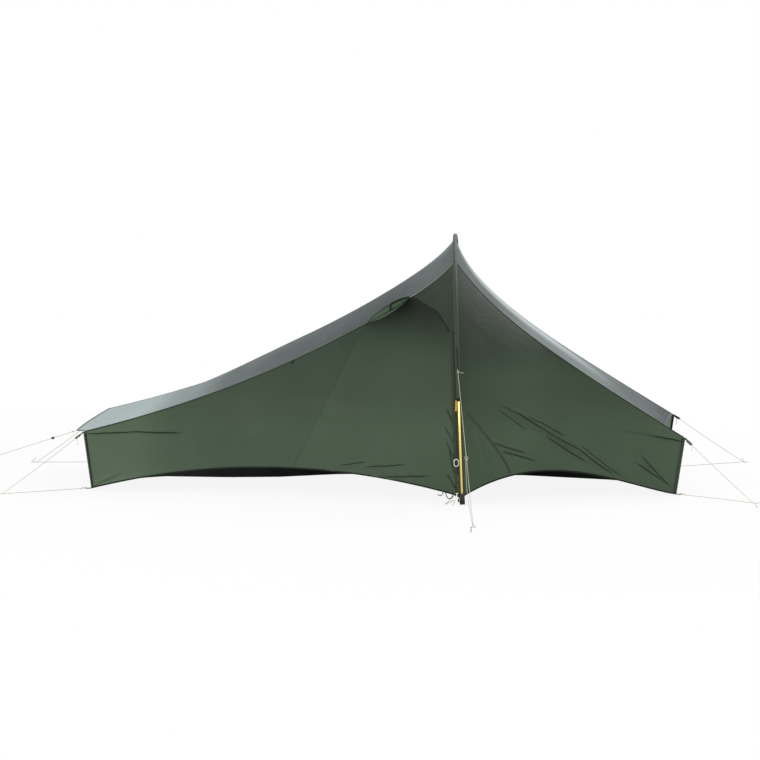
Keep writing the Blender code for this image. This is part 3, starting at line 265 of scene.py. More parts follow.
# %% Sizes of the pitched shape
HALF_LENGTH, HALF_END_WIDTH, END_LEAN = 1.145, 0.45, 0.03
CORNER_TOP, CORNER_BOTTOM = 0.235, 0.01
PEAK, HALF_ARCH, ARCH_X = 1.0, 0.785, 0.315
ARCH_LEAN = math.atan2(0.045, PEAK)
SLEEVE_R, SLEEVE_DROP, POLE_R = 0.0084, 0.0028, 0.0045
TIP_HEIGHT, HEM_HEIGHT = 0.012, 0.03
STEPS = 21
pole_top = PEAK / math.cos(ARCH_LEAN) - SLEEVE_R + SLEEVE_DROP
POLE_CIRCLE = (pole_top**2 + HALF_ARCH**2) / (2 * pole_top)
CENTRE = pole_top - POLE_CIRCLE
SLEEVE_CIRCLE = POLE_CIRCLE - SLEEVE_DROP
CLOTH_CIRCLE = SLEEVE_CIRCLE - SLEEVE_R - 0.0003
STEP = math.acos((TIP_HEIGHT - CENTRE) / POLE_CIRCLE) / STEPS
SEAM_TURN, DOOR_TOP_TURN = 5 * STEP, 6 * STEP
HEM_TURN = math.acos((HEM_HEIGHT - CENTRE) / CLOTH_CIRCLE)
ARCH_UP = np.array([math.cos(ARCH_LEAN), 0.0, math.sin(ARCH_LEAN)])
UP = np.array([0.0, 0.0, 1.0])
print(f"arch radius {CLOTH_CIRCLE:.4f} m, seam at {math.degrees(SEAM_TURN):.1f} degrees")

# %% [markdown]
# The shape functions work on whole arrays of points at once, which keeps a fine grid of
# cloth quick to make. `turn` is the angle down the arch from its top, towards the door.
# Each end of the tent has its own numbers: how a seam falls, how far the arch's curve
# reaches into the roof, and how the end edge is drawn in and sags.

# %% Arch, seams and hems
LONG_END = {"sign": -1, "straight": 0.54, "power": 2.24, "steep": 0.05, "steep_power": 27,
            "crown": 0.72, "crown_power": 5, "skew": 1.0,
            "near": 10, "drawn": (0.083, 1.3), "sag": (0.045, 1)}
STEEP_END = {"sign": 1, "straight": 0.81, "power": 2.8, "steep": 0.13, "steep_power": 6.5,
             "crown": 0.25, "crown_power": 28, "skew": 1.35,
             "near": 6, "drawn": (0.045, 2), "sag": (0.02, 2)}
ENDS = {"steep": STEEP_END, "long": LONG_END}
FLIP = np.array([1.0, -1.0, 1.0])
HEM_DRAWN, HEM_LIFT = 0.24, 0.36


def on_arch(turn, radius=CLOTH_CIRCLE, across=0.0):
    turn, across = np.broadcast_arrays(np.asarray(turn, float), across)
    up = CENTRE + radius * np.cos(turn)
    x = ARCH_X - up * math.sin(ARCH_LEAN) + across * math.cos(ARCH_LEAN)
    z = up * math.cos(ARCH_LEAN) + across * math.sin(ARCH_LEAN)
    return np.stack([x, -radius * np.sin(turn), z], axis=-1)


def blend_to(a, b, f):
    return a + (b - a) * f


def seam_line(end, t):
    """The front roof seam, from the corner's top to the arch."""
    t = np.asarray(t, float)
    curved = 1 - end["straight"] - end["steep"]
    share = (end["straight"] * t + curved * t ** end["power"]
             + end["steep"] * t ** end["steep_power"])
    top = on_arch(SEAM_TURN)
    x = blend_to(end["sign"] * (HALF_LENGTH + END_LEAN), top[0], t)
    y = blend_to(-HALF_END_WIDTH, top[1], t)
    return np.stack([x, y, blend_to(CORNER_TOP, top[2], share)], axis=-1)


def hem_line(end, t):
    """The front hem, lifted and drawn in between the corner and the arch's foot."""
    t = np.asarray(t, float)
    foot = on_arch(HEM_TURN)
    skewed = t ** end["skew"]
    x = blend_to(end["sign"] * HALF_LENGTH, foot[0], t)
    y = blend_to(-HALF_END_WIDTH, foot[1], t) + HEM_DRAWN * t * (1 - t)
    z = blend_to(CORNER_BOTTOM, foot[2], t) + HEM_LIFT * skewed * (1 - skewed)
    return np.stack([x, y, z], axis=-1)


print("peak of the cloth:", np.round(on_arch(0.0), 3))

# %% Roof and walls
FOLD_TOP, FOLD_BOTTOM = 0.76, 0.545


def smooth_step(low, high, value):
    f = np.clip((value - low) / (high - low), 0, 1)
    return f * f * (3 - 2 * f)


def roof_spot(end, t, v):
    """The roof strip: v is -1 on the front seam and 1 on the back one."""
    t, v = np.broadcast_arrays(np.asarray(t, float), np.asarray(v, float))
    front, across = seam_line(end, t), ((v + 1) / 2)[..., None]
    arch_front = seam_line(end, 1.0)
    crown = on_arch(-v * SEAM_TURN) - blend_to(arch_front, arch_front * FLIP, across)
    kept = (end["crown"] * smooth_step(0.08, 0.58, t)
            + (1 - end["crown"]) * t ** end["crown_power"])
    spot = blend_to(front, front * FLIP, across) + crown * kept[..., None]
    for axis, (amount, power) in ((0, end["drawn"]), (2, end["sag"])):
        spot[..., axis] -= amount * (1 - np.abs(v) ** power) * (1 - t) ** end["near"]
    return spot


def wall_spot(end, u, w, door_side=False):
    """A side wall: w is 0 on the seam and 1 on the hem, and u is 1 at the arch."""
    u, w = np.broadcast_arrays(np.asarray(u, float), np.asarray(w, float))
    hem_t, bow = u, u**2.5
    if door_side:
        past = (u - FOLD_TOP) / (1 - FOLD_TOP)
        hem_t = np.where(past <= 0, u * FOLD_BOTTOM / FOLD_TOP,
                         blend_to(FOLD_BOTTOM, 1.0, past))
        bow = np.clip(past, 0, 1) ** 1.5
    down = w[..., None]
    flat = blend_to(seam_line(end, u), hem_line(end, hem_t), down)
    arch_flat = blend_to(seam_line(end, 1.0), hem_line(end, 1.0), down)
    arch = on_arch(blend_to(SEAM_TURN, HEM_TURN, w))
    return flat + (arch - arch_flat) * bow[..., None]


print("long corner:", np.round(wall_spot(LONG_END, 0.0, 0.0), 3))

# %% [markdown]
# ## Folds
# Taut cloth shows its pull in long narrow folds. Each one here is a line on the wall in
# the side view, as x and z of its two ends, with a width and a height. The cloth rises
# on one side of the line and sinks on the other, which is what catches the light.

# %% Folds in the walls
FOLD_NARROW, FOLD_RAISED = 0.60, 1.7


def fold_relief(points, folds):
    """Height of the folds at each point, in metres."""
    x, z = points[..., 0], points[..., 2]
    total = np.zeros(x.shape)
    for x0, z0, x1, z1, width, height in folds:
        run = math.hypot(x1 - x0, z1 - z0)
        along = ((x - x0) * (x1 - x0) + (z - z0) * (z1 - z0)) / run
        off = ((x - x0) * -(z1 - z0) + (z - z0) * (x1 - x0)) / run
        share = np.clip(along / run, 0.04, 0.96)
        past = np.maximum(0, np.maximum(-along, along - run)) / (2 * width)
        strength = np.sin(np.pi * share) ** 0.6 * np.exp(-past**2)
        s = off / (FOLD_NARROW * width)
        shape = s * np.exp(0.5 - s * s / 2) + 0.35 * np.exp(-s * s)
        total += FOLD_RAISED * height * strength * shape
    return total


one_fold = [(0, 0, 0.2, 0, 0.01, 0.002)]
print("a 2 mm fold's height:", np.round(fold_relief(np.array([0.1, 0, 0.01]), one_fold), 5))

# %% [markdown]
# ## Building blocks in mesh code
# Cloth and cord follow curves that no primitive has, so both are laid out as grids of
# points. A cloth grid gets UVs in metres, measured along the cloth itself, so that weave
# and stitches keep their real size. A cord is a tube of rings along its path.

# %% Cloth grids


def unit(v):
    v = np.asarray(v, float)
    return v / np.linalg.norm(v, axis=-1, keepdims=True)


def cloth_uv(grid):
    """Distance along the cloth in both directions, in metres, at every grid point."""
    down = np.linalg.norm(np.diff(grid, axis=0), axis=2)
    over = np.linalg.norm(np.diff(grid, axis=1), axis=2)
    u = np.concatenate([np.zeros((1, grid.shape[1])), np.cumsum(down, axis=0)])
    v = np.concatenate([np.zeros((grid.shape[0], 1)), np.cumsum(over, axis=1)], axis=1)
    return np.stack([u - u.mean(), v - v.mean()], axis=-1)


def grid_faces(rows, columns, first=0):
    i, j = np.meshgrid(np.arange(rows - 1), np.arange(columns - 1), indexing="ij")
    a = (first + i * columns + j).ravel()
    return np.stack([a, a + columns, a + columns + 1, a + 1], axis=1)


def grid_normals(grid):
    return unit(np.cross(np.gradient(grid, axis=0), np.gradient(grid, axis=1)))


print("faces in a 3 by 4 grid:", len(grid_faces(3, 4)))

# %% [markdown]
# Patches that share their edge points become one surface when doubled points are
# merged, as panels become one skin when they are sewn. Faces are then turned outwards,
# away from a point inside the tent, and Solidify gives the cloth its thickness.

# %% One object from several patches


def new_object(name, points, faces, uvs, looks):
    mesh = bpy.data.meshes.new(name)
    mesh.from_pydata(points, [], faces.tolist())
    layer = mesh.uv_layers.new(name="cloth")
    layer.data.foreach_set("uv", uvs[faces.ravel()].ravel())
    for look in looks:
        mesh.materials.append(look)
    return add_object(name, mesh)


def mend(obj, merge=0.0, outside=None, fill=False):
    """Merges doubled points, closes holes if asked, and turns the faces outwards."""
    bm = bmesh.new()
    bm.from_mesh(obj.data)
    if merge:
        bmesh.ops.remove_doubles(bm, verts=bm.verts, dist=merge)
    if outside is not None:
        bmesh.ops.dissolve_degenerate(bm, dist=1e-6, edges=bm.edges)
    if fill:
        rims = [e for e in bm.edges if e.is_boundary]
        bmesh.ops.holes_fill(bm, edges=rims, sides=0)
    bmesh.ops.recalc_face_normals(bm, faces=bm.faces)
    if outside is not None:
        middle = Vector(outside)
        if sum((f.calc_center_median() - middle).dot(f.normal) * f.calc_area()
               for f in bm.faces) < 0:
            bmesh.ops.reverse_faces(bm, faces=bm.faces)
    bm.to_mesh(obj.data)
    bm.free()


def pick_only(obj):
    bpy.ops.object.select_all(action="DESELECT")
    bpy.context.view_layer.objects.active = obj
    obj.select_set(True)


def finish_with(obj, kind, **settings):
    """Adds a modifier with its settings and applies it."""
    modifier = obj.modifiers.new(kind.lower(), kind)
    for label, value in settings.items():
        setattr(modifier, label, value)
    pick_only(obj)
    bpy.ops.object.modifier_apply(modifier=modifier.name)
    obj.select_set(False)


def sew(name, patches, looks, inside, thickness=0.0, merge=0.0002):
    """One object of grids, or of (grid, look's number, uv), merged at their edges."""
    points, faces, marks, uvs, first = [], [], [], [], 0
    for patch in patches:
        grid, look, uv = patch if isinstance(patch, tuple) else (patch, 0, None)
        cells = grid_faces(*grid.shape[:2], first)
        points.append(grid.reshape(-1, 3))
        uvs.append((cloth_uv(grid) if uv is None else uv).reshape(-1, 2))
        faces.append(cells)
        marks.append(np.full(len(cells), look))
        first += grid.shape[0] * grid.shape[1]
    made = new_object(name, np.concatenate(points), np.concatenate(faces),
                      np.concatenate(uvs), looks)
    made.data.polygons.foreach_set("material_index", np.concatenate(marks))
    mend(made, merge, inside)
    made.data.shade_smooth()
    if thickness:
        finish_with(made, "SOLIDIFY", thickness=thickness, offset=-1.0,
                    use_even_offset=False)
        made.data.set_sharp_from_angle(angle=math.radians(50))
    return made


def belong(piece, body, slot, *nodes):
    """Says which body a piece rides on and the CAD nodes it stands for. The slot is not used."""
    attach(piece, body)
    if nodes:
        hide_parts(*nodes)
    return piece


print("patches are merged within 0.2 mm")

# %% [markdown]
# A cord's rings must not twist along its path. Each ring's sideways direction is the
# last one's, made square to the path again, which is what a real cord does when it is
# laid down without being turned.

# %% Tubes


def run_of(path):
    """Distance along a path at each of its points."""
    gaps = np.linalg.norm(np.diff(path, axis=0), axis=1)
    return np.concatenate([[0], np.cumsum(gaps)])


def line_length(path):
    return float(run_of(path)[-1])


def rings_along(path, up, sides):
    """Directions from each point of a path to its ring, and the ring's turns."""
    ahead = unit(np.gradient(path, axis=0))
    side = unit(np.cross(ahead[0], np.asarray(up, float)))
    across = [side]
    for direction in ahead[1:]:
        side = unit(side - direction * np.dot(side, direction))
        across.append(side)
    across = np.array(across)
    turn = 2 * np.pi * np.arange(sides + 1) / sides
    return (np.cos(turn)[None, :, None] * across[:, None]
            + np.sin(turn)[None, :, None] * np.cross(across, ahead)[:, None]), turn


def tube(name, path, radius, look, sides=12, up=(0, 0, 1), closed=False):
    """A round tube along a path, with UVs in metres along and round it."""
    path = np.asarray(path, float)
    if closed:
        path = np.concatenate([path, path[:1]])
    radii = np.broadcast_to(np.asarray(radius, float), len(path))
    ring, turn = rings_along(path, up, sides)
    grid = path[:, None] + radii[:, None, None] * ring
    uv = np.broadcast_arrays(run_of(path)[:, None], turn[None] * radii.max())
    made = new_object(name, grid.reshape(-1, 3), grid_faces(len(path), sides + 1),
                      np.stack(uv, axis=-1).reshape(-1, 2), [look])
    mend(made, float(radii.min()) * 0.02 + 1e-7, fill=not closed)
    made.data.shade_smooth()
    return made


def join(parts, name):
    """Makes one object of several."""
    pick_only(parts[0])
    for part in parts:
        part.select_set(True)
    bpy.ops.object.join()
    parts[0].name = name
    parts[0].select_set(False)
    return parts[0]


def even(points, count):
    """The same line with its points evenly spaced."""
    length = run_of(points)
    wanted = np.linspace(0, length[-1], count)
    return np.stack([np.interp(wanted, length, column) for column in points.T], axis=1)


def curve_through(points, count):
    """Evenly spaced points along one smooth curve through the given ones."""
    pts = np.array(points, float)
    padded = [2 * pts[0] - pts[1], *pts, 2 * pts[-1] - pts[-2]]
    dense = []
    for a, b, c, d in zip(padded, padded[1:], padded[2:], padded[3:]):
        for f in np.linspace(0, 1, 24, endpoint=False):
            dense.append(0.5 * (2 * b + (c - a) * f + (2 * a - 5 * b + 4 * c - d) * f**2
                                + (3 * b - a - 3 * c + d) * f**3))
    return even(np.array([*dense, pts[-1]]), count)


corners = np.array([(0, 0, 0), (1, 0, 0), (1, 1, 0), (0, 1, 0), (0, 0, 0)])
print("a unit square's outline:", line_length(corners), "m")

# %% [markdown]
# ## Cloth finishes
# Effects that several finishes need are node groups, built once, that put out masks and
# heights. Ripstop is a plain weave with thicker threads every few millimetres, so its
# group makes fine threads and a grid of stronger ones. Coated cloth that has been packed
# keeps soft waves and sharp creases, which come from noise. Both could be painted as
# images, but nodes stay sharp at any distance.

# %% Ripstop and crinkle groups
RIPSTOP_GRID, RIPSTOP_THREADS = 1100.0, 7000.0
ripstop = Group("ripstop", Cloth=None, Grid=RIPSTOP_GRID, Threads=RIPSTOP_THREADS)
lines, threads = [], []
for direction in ripstop.split(ripstop.given["Cloth"])[:2]:
    coarse = ripstop.wave(direction, ripstop.given["Grid"])
    lines.append(ripstop.ramp(coarse, 0.90, 1.0))
    threads.append(ripstop.wave(direction, ripstop.given["Threads"]))
ripstop.put_out(Lines=ripstop.calc("MAXIMUM", *lines),
                Weave=ripstop.ramp(ripstop.times(*threads), -1.0, 1.0))

crinkle = Group("crinkle", Place=None)
place = crinkle.given["Place"]
ridged = crinkle.calc("SUBTRACT", crinkle.noise(place, 16.0, 4.0, 1.2), 0.5)
ridged = crinkle.calc("ABSOLUTE", ridged)
crinkle.put_out(Soft=crinkle.noise(place, 7.0, 3.0, 0.6),
                Sharp=crinkle.ramp(ridged, 0.0, 0.16, 1.0, 0.0),
                Tone=crinkle.noise(place, 3.0, 2.0))
print("ripstop grid every", round(2000 * math.pi / RIPSTOP_GRID, 1), "mm")

# %% [markdown]
# The thinnest creases of the front walls are too sharp for the cloth's grid of points.
# They are drawn in the finish instead, each as a line in the side view that fades out
# at both ends, and a little noise keeps it from being ruler-straight. Each line is bumped
# and also darkened in the colour, which is painted shade in the crease.

# %% Crease group
crease = Group("crease", Place=None, Wobble=0.0, X=0.0, Z=0.0, Cos=1.0, Sin=0.0, Run=0.1,
               Width=0.003)
given = crease.given
x, _, z = crease.split(given["Place"])
from_x, from_z = crease.calc("SUBTRACT", x, given["X"]), crease.calc("SUBTRACT", z, given["Z"])
along = crease.calc("ADD", crease.times(from_x, given["Cos"]),
                    crease.times(from_z, given["Sin"]))
aside = crease.calc("SUBTRACT", crease.times(from_z, given["Cos"]),
                    crease.times(from_x, given["Sin"]))
share = crease.calc("DIVIDE", along, given["Run"])
fading = crease.ramp(crease.times(share, crease.calc("SUBTRACT", 1.0, share)), 0.0, 0.13)
spread = crease.calc("DIVIDE", crease.calc("ADD", aside, given["Wobble"]), given["Width"])
bell = crease.calc("POWER", 2.718, crease.times(crease.times(spread, spread), -1.0))
crease.put_out(Line=crease.times(bell, fading))

CREASES = [
    (0.455, 0.379, 0.645, 0.262), (0.620, 0.276, 0.785, 0.178), (0.755, 0.196, 0.905, 0.086),
    (0.520, 0.345, 0.680, 0.239), (0.553, 0.331, 0.720, 0.242), (0.630, 0.250, 0.800, 0.135),
    (0.445, 0.360, 0.563, 0.272), (0.423, 0.234, 0.565, 0.181), (0.460, 0.199, 0.600, 0.153),
    (1.005, 0.166, 1.125, 0.038), (0.988, 0.136, 1.095, 0.064), (1.055, 0.238, 1.172, 0.217),
    (0.765, 0.211, 0.930, 0.080), (-1.168, 0.226, -0.980, 0.231),
    (-1.010, 0.234, -0.790, 0.229), (-0.165, 0.129, -0.060, 0.147),
    (-0.067, 0.125, 0.096, 0.145), (0.005, 0.092, 0.190, 0.103), (0.249, 0.248, 0.287, 0.166),
    (0.255, 0.120, 0.287, 0.060), (0.252, 0.367, 0.277, 0.307), (0.243, 0.300, 0.285, 0.225),
    (0.260, 0.222, 0.283, 0.115)]


def creased(finish):
    """Where the creases of the front walls lie: x and z of both ends of each."""
    wobble = finish.calc("SUBTRACT", finish.noise(finish.solid, 14.0), 0.5)
    wobble = finish.times(wobble, 0.010)
    lines = None
    for k, (x0, z0, x1, z1) in enumerate(CREASES):
        run = math.hypot(x1 - x0, z1 - z0)
        line = finish.use("crease", Place=finish.solid, Wobble=wobble, X=x0, Z=z0,
                          Cos=(x1 - x0) / run, Sin=(z1 - z0) / run, Run=run,
                          Width=0.0015 + 0.0005 * (k % 3))["Line"]
        lines = line if lines is None else finish.calc("MAXIMUM", lines, line)
    in_front = finish.calc("LESS_THAN", finish.split(finish.solid)["Y"], 0.0)
    return finish.times(lines, in_front)


print(len(CREASES), "creases")

# %% [markdown]
# The flysheet's cloth is green on the walls, and the roof's finish is pale grey. Light and
# shade are painted into these colours: a row of shares along one axis of the tent is
# multiplied in, which paints the walls lighter along their lower edges. The roof's grey is
# painted reflection of the bright sky, and a painted highlight pales it along its ridge.

# %% Coated ripstop
# Painted shade in the creases:
PAINTED_CREASE_SHADE = (0.002, 0.004, 0.002)
# Painted highlight along the roof's ridge:
PAINTED_RIDGE_HIGHLIGHT = (0.62, 0.66, 0.67)


def paint_light_along(finish, colour, axis, low, high, shares):
    """Paints light and shade: colour times shares following each other along one tent axis."""
    ramp = finish.tree.nodes.new("ShaderNodeValToRGB")
    place = finish.split(finish.solid)[axis]
    finish.fill(ramp, {"Fac": finish.ramp(place, low, high)})
    ramp.color_ramp.interpolation = "EASE"
    points = ramp.color_ramp.elements
    steps = len(shares) - 1
    for k in range(1, steps):
        points.new(k / steps)
    for k, share in enumerate(shares):
        points[k].position = k / steps
        points[k].color = (share, share, share, 1)
    return finish.mix(1.0, colour, ramp.outputs["Color"], blend_type="MULTIPLY")


def paint_ridge_highlight(finish, colour, ridge_highlight):
    """Painted highlight: pales the roof along its ridge, near the arch on the steep side."""
    x, across = finish.split(finish.solid)["X"], finish.split(finish.cloth)["Y"]
    ridge = finish.ramp(finish.calc("ABSOLUTE", across), 0.04, 0.20, ridge_highlight, 0.0)
    spread = finish.times(finish.ramp(x, 0.16, 0.40), finish.ramp(x, 0.66, 0.92, 1.0, 0.0))
    return finish.mix(finish.times(ridge, spread), colour, PAINTED_RIDGE_HIGHLIGHT)


def coated_cloth(name, dark, pale, rough, specular, sheen, crinkled=1.0, painted_shading=(),
                 front_creases_and_shade=False, ridge_highlight=0.0):
    """Coated ripstop. Each painted light ramp is an axis, its range and the shares along it."""
    cloth = Finish(name, rough, specular)
    cloth.set(**{"Sheen Weight": sheen, "Sheen Roughness": 0.35})
    weave = cloth.use("ripstop", Cloth=cloth.cloth, Grid=RIPSTOP_GRID,
                      Threads=RIPSTOP_THREADS)
    folds = cloth.use("crinkle", Place=cloth.solid)
    base = cloth.mix(folds["Tone"], dark, pale)
    thicker = tuple(min(1, 1.9 * c) for c in pale)
    base = cloth.mix(cloth.times(weave["Lines"], 0.16), base, thicker)
    # Painted light and shade, multiplied into the colour along the tent's axes.
    for tone_ramp in painted_shading:
        base = paint_light_along(cloth, base, *tone_ramp)
    if ridge_highlight:
        base = paint_ridge_highlight(cloth, base, ridge_highlight)
    heights = [(folds["Soft"], 0.004 * crinkled, 0.6), (folds["Sharp"], 0.0006 * crinkled, 0.5),
               (weave["Lines"], 0.00015, 0.6), (weave["Weave"], 0.00004, 0.4)]
    if front_creases_and_shade:
        # Painted shade: the crease lines darken the colour nearly to black.
        lines = creased(cloth)
        base = cloth.mix(cloth.times(lines, 0.85), base, PAINTED_CREASE_SHADE)
        heights.insert(0, (cloth.calc("SUBTRACT", 1.0, lines), 0.0022, 0.7))
    cloth.set(Roughness=cloth.ramp(folds["Soft"], 0.3, 0.7, rough - 0.06, rough + 0.07))
    return cloth.done(base, heights)


# Painted light and shade of the flysheet: the walls are lighter low down and at the ends, and
# the roof changes along the tent, as painted light and painted reflection of the sky.
WALL_PAINTED_LIGHT = (("Z", 0.0, 0.9, (1.0, 0.92, 0.72, 0.52, 0.46)),
              ("X", -1.2, 1.2, (1.0, 0.92, 0.64, 0.60, 0.60, 0.62, 0.60, 0.54, 0.56, 0.60,
                                0.62, 0.64, 0.74)))
ROOF_PAINTED_LIGHT = (("X", -1.2, 1.2, (1.0, 1.0, 0.60, 0.29, 0.24, 0.21, 0.18, 0.30, 0.22, 0.38,
                                0.42, 0.24, 0.15)),)
# The door adds painted light and shade of its own: a little darker low down and towards the long
# end, and a painted shadow under the vent's hood and the fixed corner at its top.
DOOR_PAINTED_LIGHT_AND_SHADOW = (*WALL_PAINTED_LIGHT, ("Z", 0.0, 0.6, (0.91, 0.94, 0.97, 1.0, 1.0)),
              ("Z", 0.57, 0.77, (1.0, 0.12)),
              ("X", -0.4, 0.3, (0.79, 0.81, 0.83, 0.83, 0.85, 0.90, 0.96, 1.0)))
# The steep wall adds painted shade of its own, darker high up and towards its end.
STEEP_PAINTED_LIGHT = (*WALL_PAINTED_LIGHT, ("Z", 0.0, 0.75, (1.0, 1.0, 1.0, 0.97, 0.68, 0.50)),
               ("X", 0.3, 1.1, (0.98, 1.0, 0.86, 0.80, 0.80)))
# The door and the steep wall get lighter copies of the walls' cloth: painted light.
WALL_FINISHES = {"wall_cloth": ((0.070, 0.109, 0.066), (0.097, 0.145, 0.092), WALL_PAINTED_LIGHT),
                 "door_cloth": ((0.097, 0.150, 0.091), (0.134, 0.200, 0.127), DOOR_PAINTED_LIGHT_AND_SHADOW),
                 "steep_painted_light_cloth": ((0.090, 0.140, 0.084), (0.124, 0.186, 0.118), STEEP_PAINTED_LIGHT)}
wall_cloth, door_painted_light_look, steep_painted_light_cloth = (
    coated_cloth(name, dark, pale, 0.55, 0.12, 0.02, 1.0, painted_shading, True)
    for name, (dark, pale, painted_shading) in WALL_FINISHES.items())
# The roof's pale grey, paler than the walls' green, is painted reflection of the bright sky.
roof_cloth = coated_cloth("roof_cloth", (0.345, 0.420, 0.415), (0.420, 0.500, 0.492),
                          0.6, 0.08, 0.0, 0.6, ROOF_PAINTED_LIGHT, False, 0.7)
print("cloth finishes:", len(WALL_FINISHES) + 1)

# %% [markdown]
# ## Finishes of cords, tapes, plastic and metal
# A braid is two sets of strands that cross, which two slanting waves make. Webbing is a
# row of ribs with finer threads across, and stitches are short dashes along a line at a
# fixed distance from the tape's middle. Plastic and metal get a fine grain, and patches
# where handling has worn it. Each is a group, so every tape and cord can have its own
# pitch and colours.

# %% Braid, rib, stitch and grain groups
STITCHES_PER_METRE = 300.0
braid = Group("braid", Cloth=None, Pitch=2600.0)
run, over = (braid.times(way, braid.given["Pitch"])
             for way in braid.split(braid.given["Cloth"])[:2])
slant = braid.calc("ADD", run, over)
crossed = braid.times(braid.calc("SINE", slant),
                      braid.calc("SINE", braid.calc("SUBTRACT", run, over)))
braid.put_out(Strands=braid.ramp(crossed, -1.0, 1.0),
              Fleck=braid.ramp(braid.wave(slant, 0.25), 0.72, 1.0))

ribs = Group("ribs", Cloth=None, Pitch=4800.0)
run, over, _ = ribs.split(ribs.given["Cloth"])
cross_wave = ribs.wave(over, ribs.times(ribs.given["Pitch"], 0.6))
both = ribs.calc("ADD", ribs.wave(run, ribs.given["Pitch"]), ribs.times(cross_wave, 0.45))
ribs.put_out(Height=ribs.ramp(both, -1.45, 1.45))

stitches = Group("stitches", Cloth=None, Line=0.0, Pitch=STITCHES_PER_METRE)
run, over, _ = stitches.split(stitches.given["Cloth"])
off_line = stitches.calc("SUBTRACT", over, stitches.given["Line"])
on_line = stitches.ramp(stitches.calc("ABSOLUTE", off_line), 0.0003, 0.0005, 1.0, 0.0)
step_on = stitches.calc("FRACT", stitches.times(run, stitches.given["Pitch"]))
dash = stitches.times(stitches.calc("GREATER_THAN", step_on, 0.12),
                      stitches.calc("LESS_THAN", step_on, 0.88))
stitches.put_out(Thread=stitches.times(dash, on_line))

grain = Group("grain", Place=None, Scale=900.0)
place = grain.given["Place"]
grain.put_out(Fine=grain.noise(place, grain.given["Scale"], 3.0),
              Worn=grain.ramp(grain.noise(place, 60.0, 5.0), 0.55, 0.75))
print("groups:", ", ".join(sorted(g.name for g in bpy.data.node_groups)))

# %% Woven, moulded and metal finishes


def woven_finish(name, dark, pale, pitch, thread, rows, rough=0.8):
    """Webbing or tape, with a row of stitches at each distance from its middle."""
    tape = Finish(name, rough, 0.25)
    rib = tape.use("ribs", Cloth=tape.cloth, Pitch=pitch)["Height"]
    base = tape.mix(rib, dark, pale)
    heights = [(rib, 0.0003, 0.8)]
    for row in rows:
        sewn = tape.use("stitches", Cloth=tape.cloth, Line=row,
                        Pitch=STITCHES_PER_METRE)["Thread"]
        base = tape.mix(sewn, base, thread)
        heights.append((sewn, 0.0003, 0.6))
    return tape.done(base, heights)


def brighter(colour, times, plus):
    return tuple(min(1.0, c * times + plus) for c in colour)


def grained(part, scale, below, above, tones, worn, rough, height):
    """Mixes two colours by a fine grain, then a worn one, and roughens by it too."""
    fine = part.use("grain", Place=part.solid, Scale=scale)
    base = part.mix(part.ramp(fine["Fine"], *tones), below, above)
    base = part.mix(part.times(fine["Worn"], worn[0]), base, worn[1])
    part.set(Roughness=part.ramp(fine["Fine"], 0.3, 0.7, *rough))
    return part.done(base, [(fine["Fine"], *height)])


def moulded_finish(name, colour, rough):
    return grained(Finish(name, rough, 0.45), 900.0, colour, brighter(colour, 1.5, 0.012),
                   (0.35, 0.65), (0.3, brighter(colour, 2.2, 0.02)),
                   (rough - 0.06, rough + 0.1), (0.00012, 0.5))


def metal_finish(name, colour, deep, rough, scale):
    return grained(Finish(name, rough, 0.5, 1.0), scale, deep, colour, (0.3, 0.7),
                   (0.35, brighter(colour, 1.2, 0.04)), (rough - 0.05, rough + 0.08),
                   (0.00005, 0.4))


binding = woven_finish("edge_binding", (0.004, 0.006, 0.004), (0.012, 0.017, 0.012),
                       5200.0, (0.03, 0.036, 0.028), (0.001,))
black_web = woven_finish("black_webbing", (0.005, 0.005, 0.006), (0.030, 0.031, 0.033),
                         4200.0, (0.085, 0.085, 0.09), (-0.0048, 0.0048))
seam_tape = woven_finish("seam_tape", (0.060, 0.074, 0.073), (0.092, 0.110, 0.108),
                         7400.0, (0.17, 0.19, 0.19), (-0.0026, 0.0026), 0.6)
wall_tape = woven_finish("wall_tape", (0.020, 0.031, 0.018), (0.032, 0.047, 0.028),
                         7400.0, (0.07, 0.09, 0.06), (-0.0024, 0.0024), 0.6)
piping = woven_finish("pale_piping", (0.26, 0.32, 0.28), (0.42, 0.48, 0.43),
                      6800.0, (0.62, 0.65, 0.60), (0.0,), 0.6)
zip_tape = woven_finish("zip_tape", (0.024, 0.038, 0.021), (0.042, 0.062, 0.036),
                        6400.0, (0.05, 0.06, 0.045), (-0.0022, 0.0026))
amber = woven_finish("amber_webbing", (0.42, 0.20, 0.02), (0.66, 0.36, 0.05),
                     4200.0, (0.75, 0.48, 0.12), (0.0,))
black_plastic = moulded_finish("black_plastic", (0.012, 0.012, 0.013), 0.42)
grey_plastic = moulded_finish("grey_plastic", (0.50, 0.52, 0.50), 0.4)
coil_plastic = moulded_finish("zip_coil", (0.010, 0.015, 0.009), 0.5)
slider_metal = moulded_finish("slider_enamel", (0.014, 0.019, 0.013), 0.5)
elastic = moulded_finish("elastic_cord", (0.02, 0.02, 0.022), 0.7)
gold = metal_finish("gold_anodised", (0.93, 0.72, 0.26), (0.86, 0.62, 0.18), 0.30, 700.0)
bare_metal = metal_finish("bare_alloy", (0.66, 0.67, 0.69), (0.50, 0.51, 0.53), 0.30, 800.0)
print("finishes so far:", len(bpy.data.materials))

# %% Cord and carbon finishes
cord = Finish("guy_cord", 0.72, 0.3)
twill = cord.use("braid", Cloth=cord.cloth, Pitch=2600.0)
colour = cord.mix(twill["Strands"], (0.36, 0.35, 0.24), (0.66, 0.65, 0.50))
colour = cord.mix(cord.times(twill["Fleck"], 0.55), colour, (0.86, 0.88, 0.84))
guy_look = cord.done(colour, [(twill["Strands"], 0.0004, 0.9)])

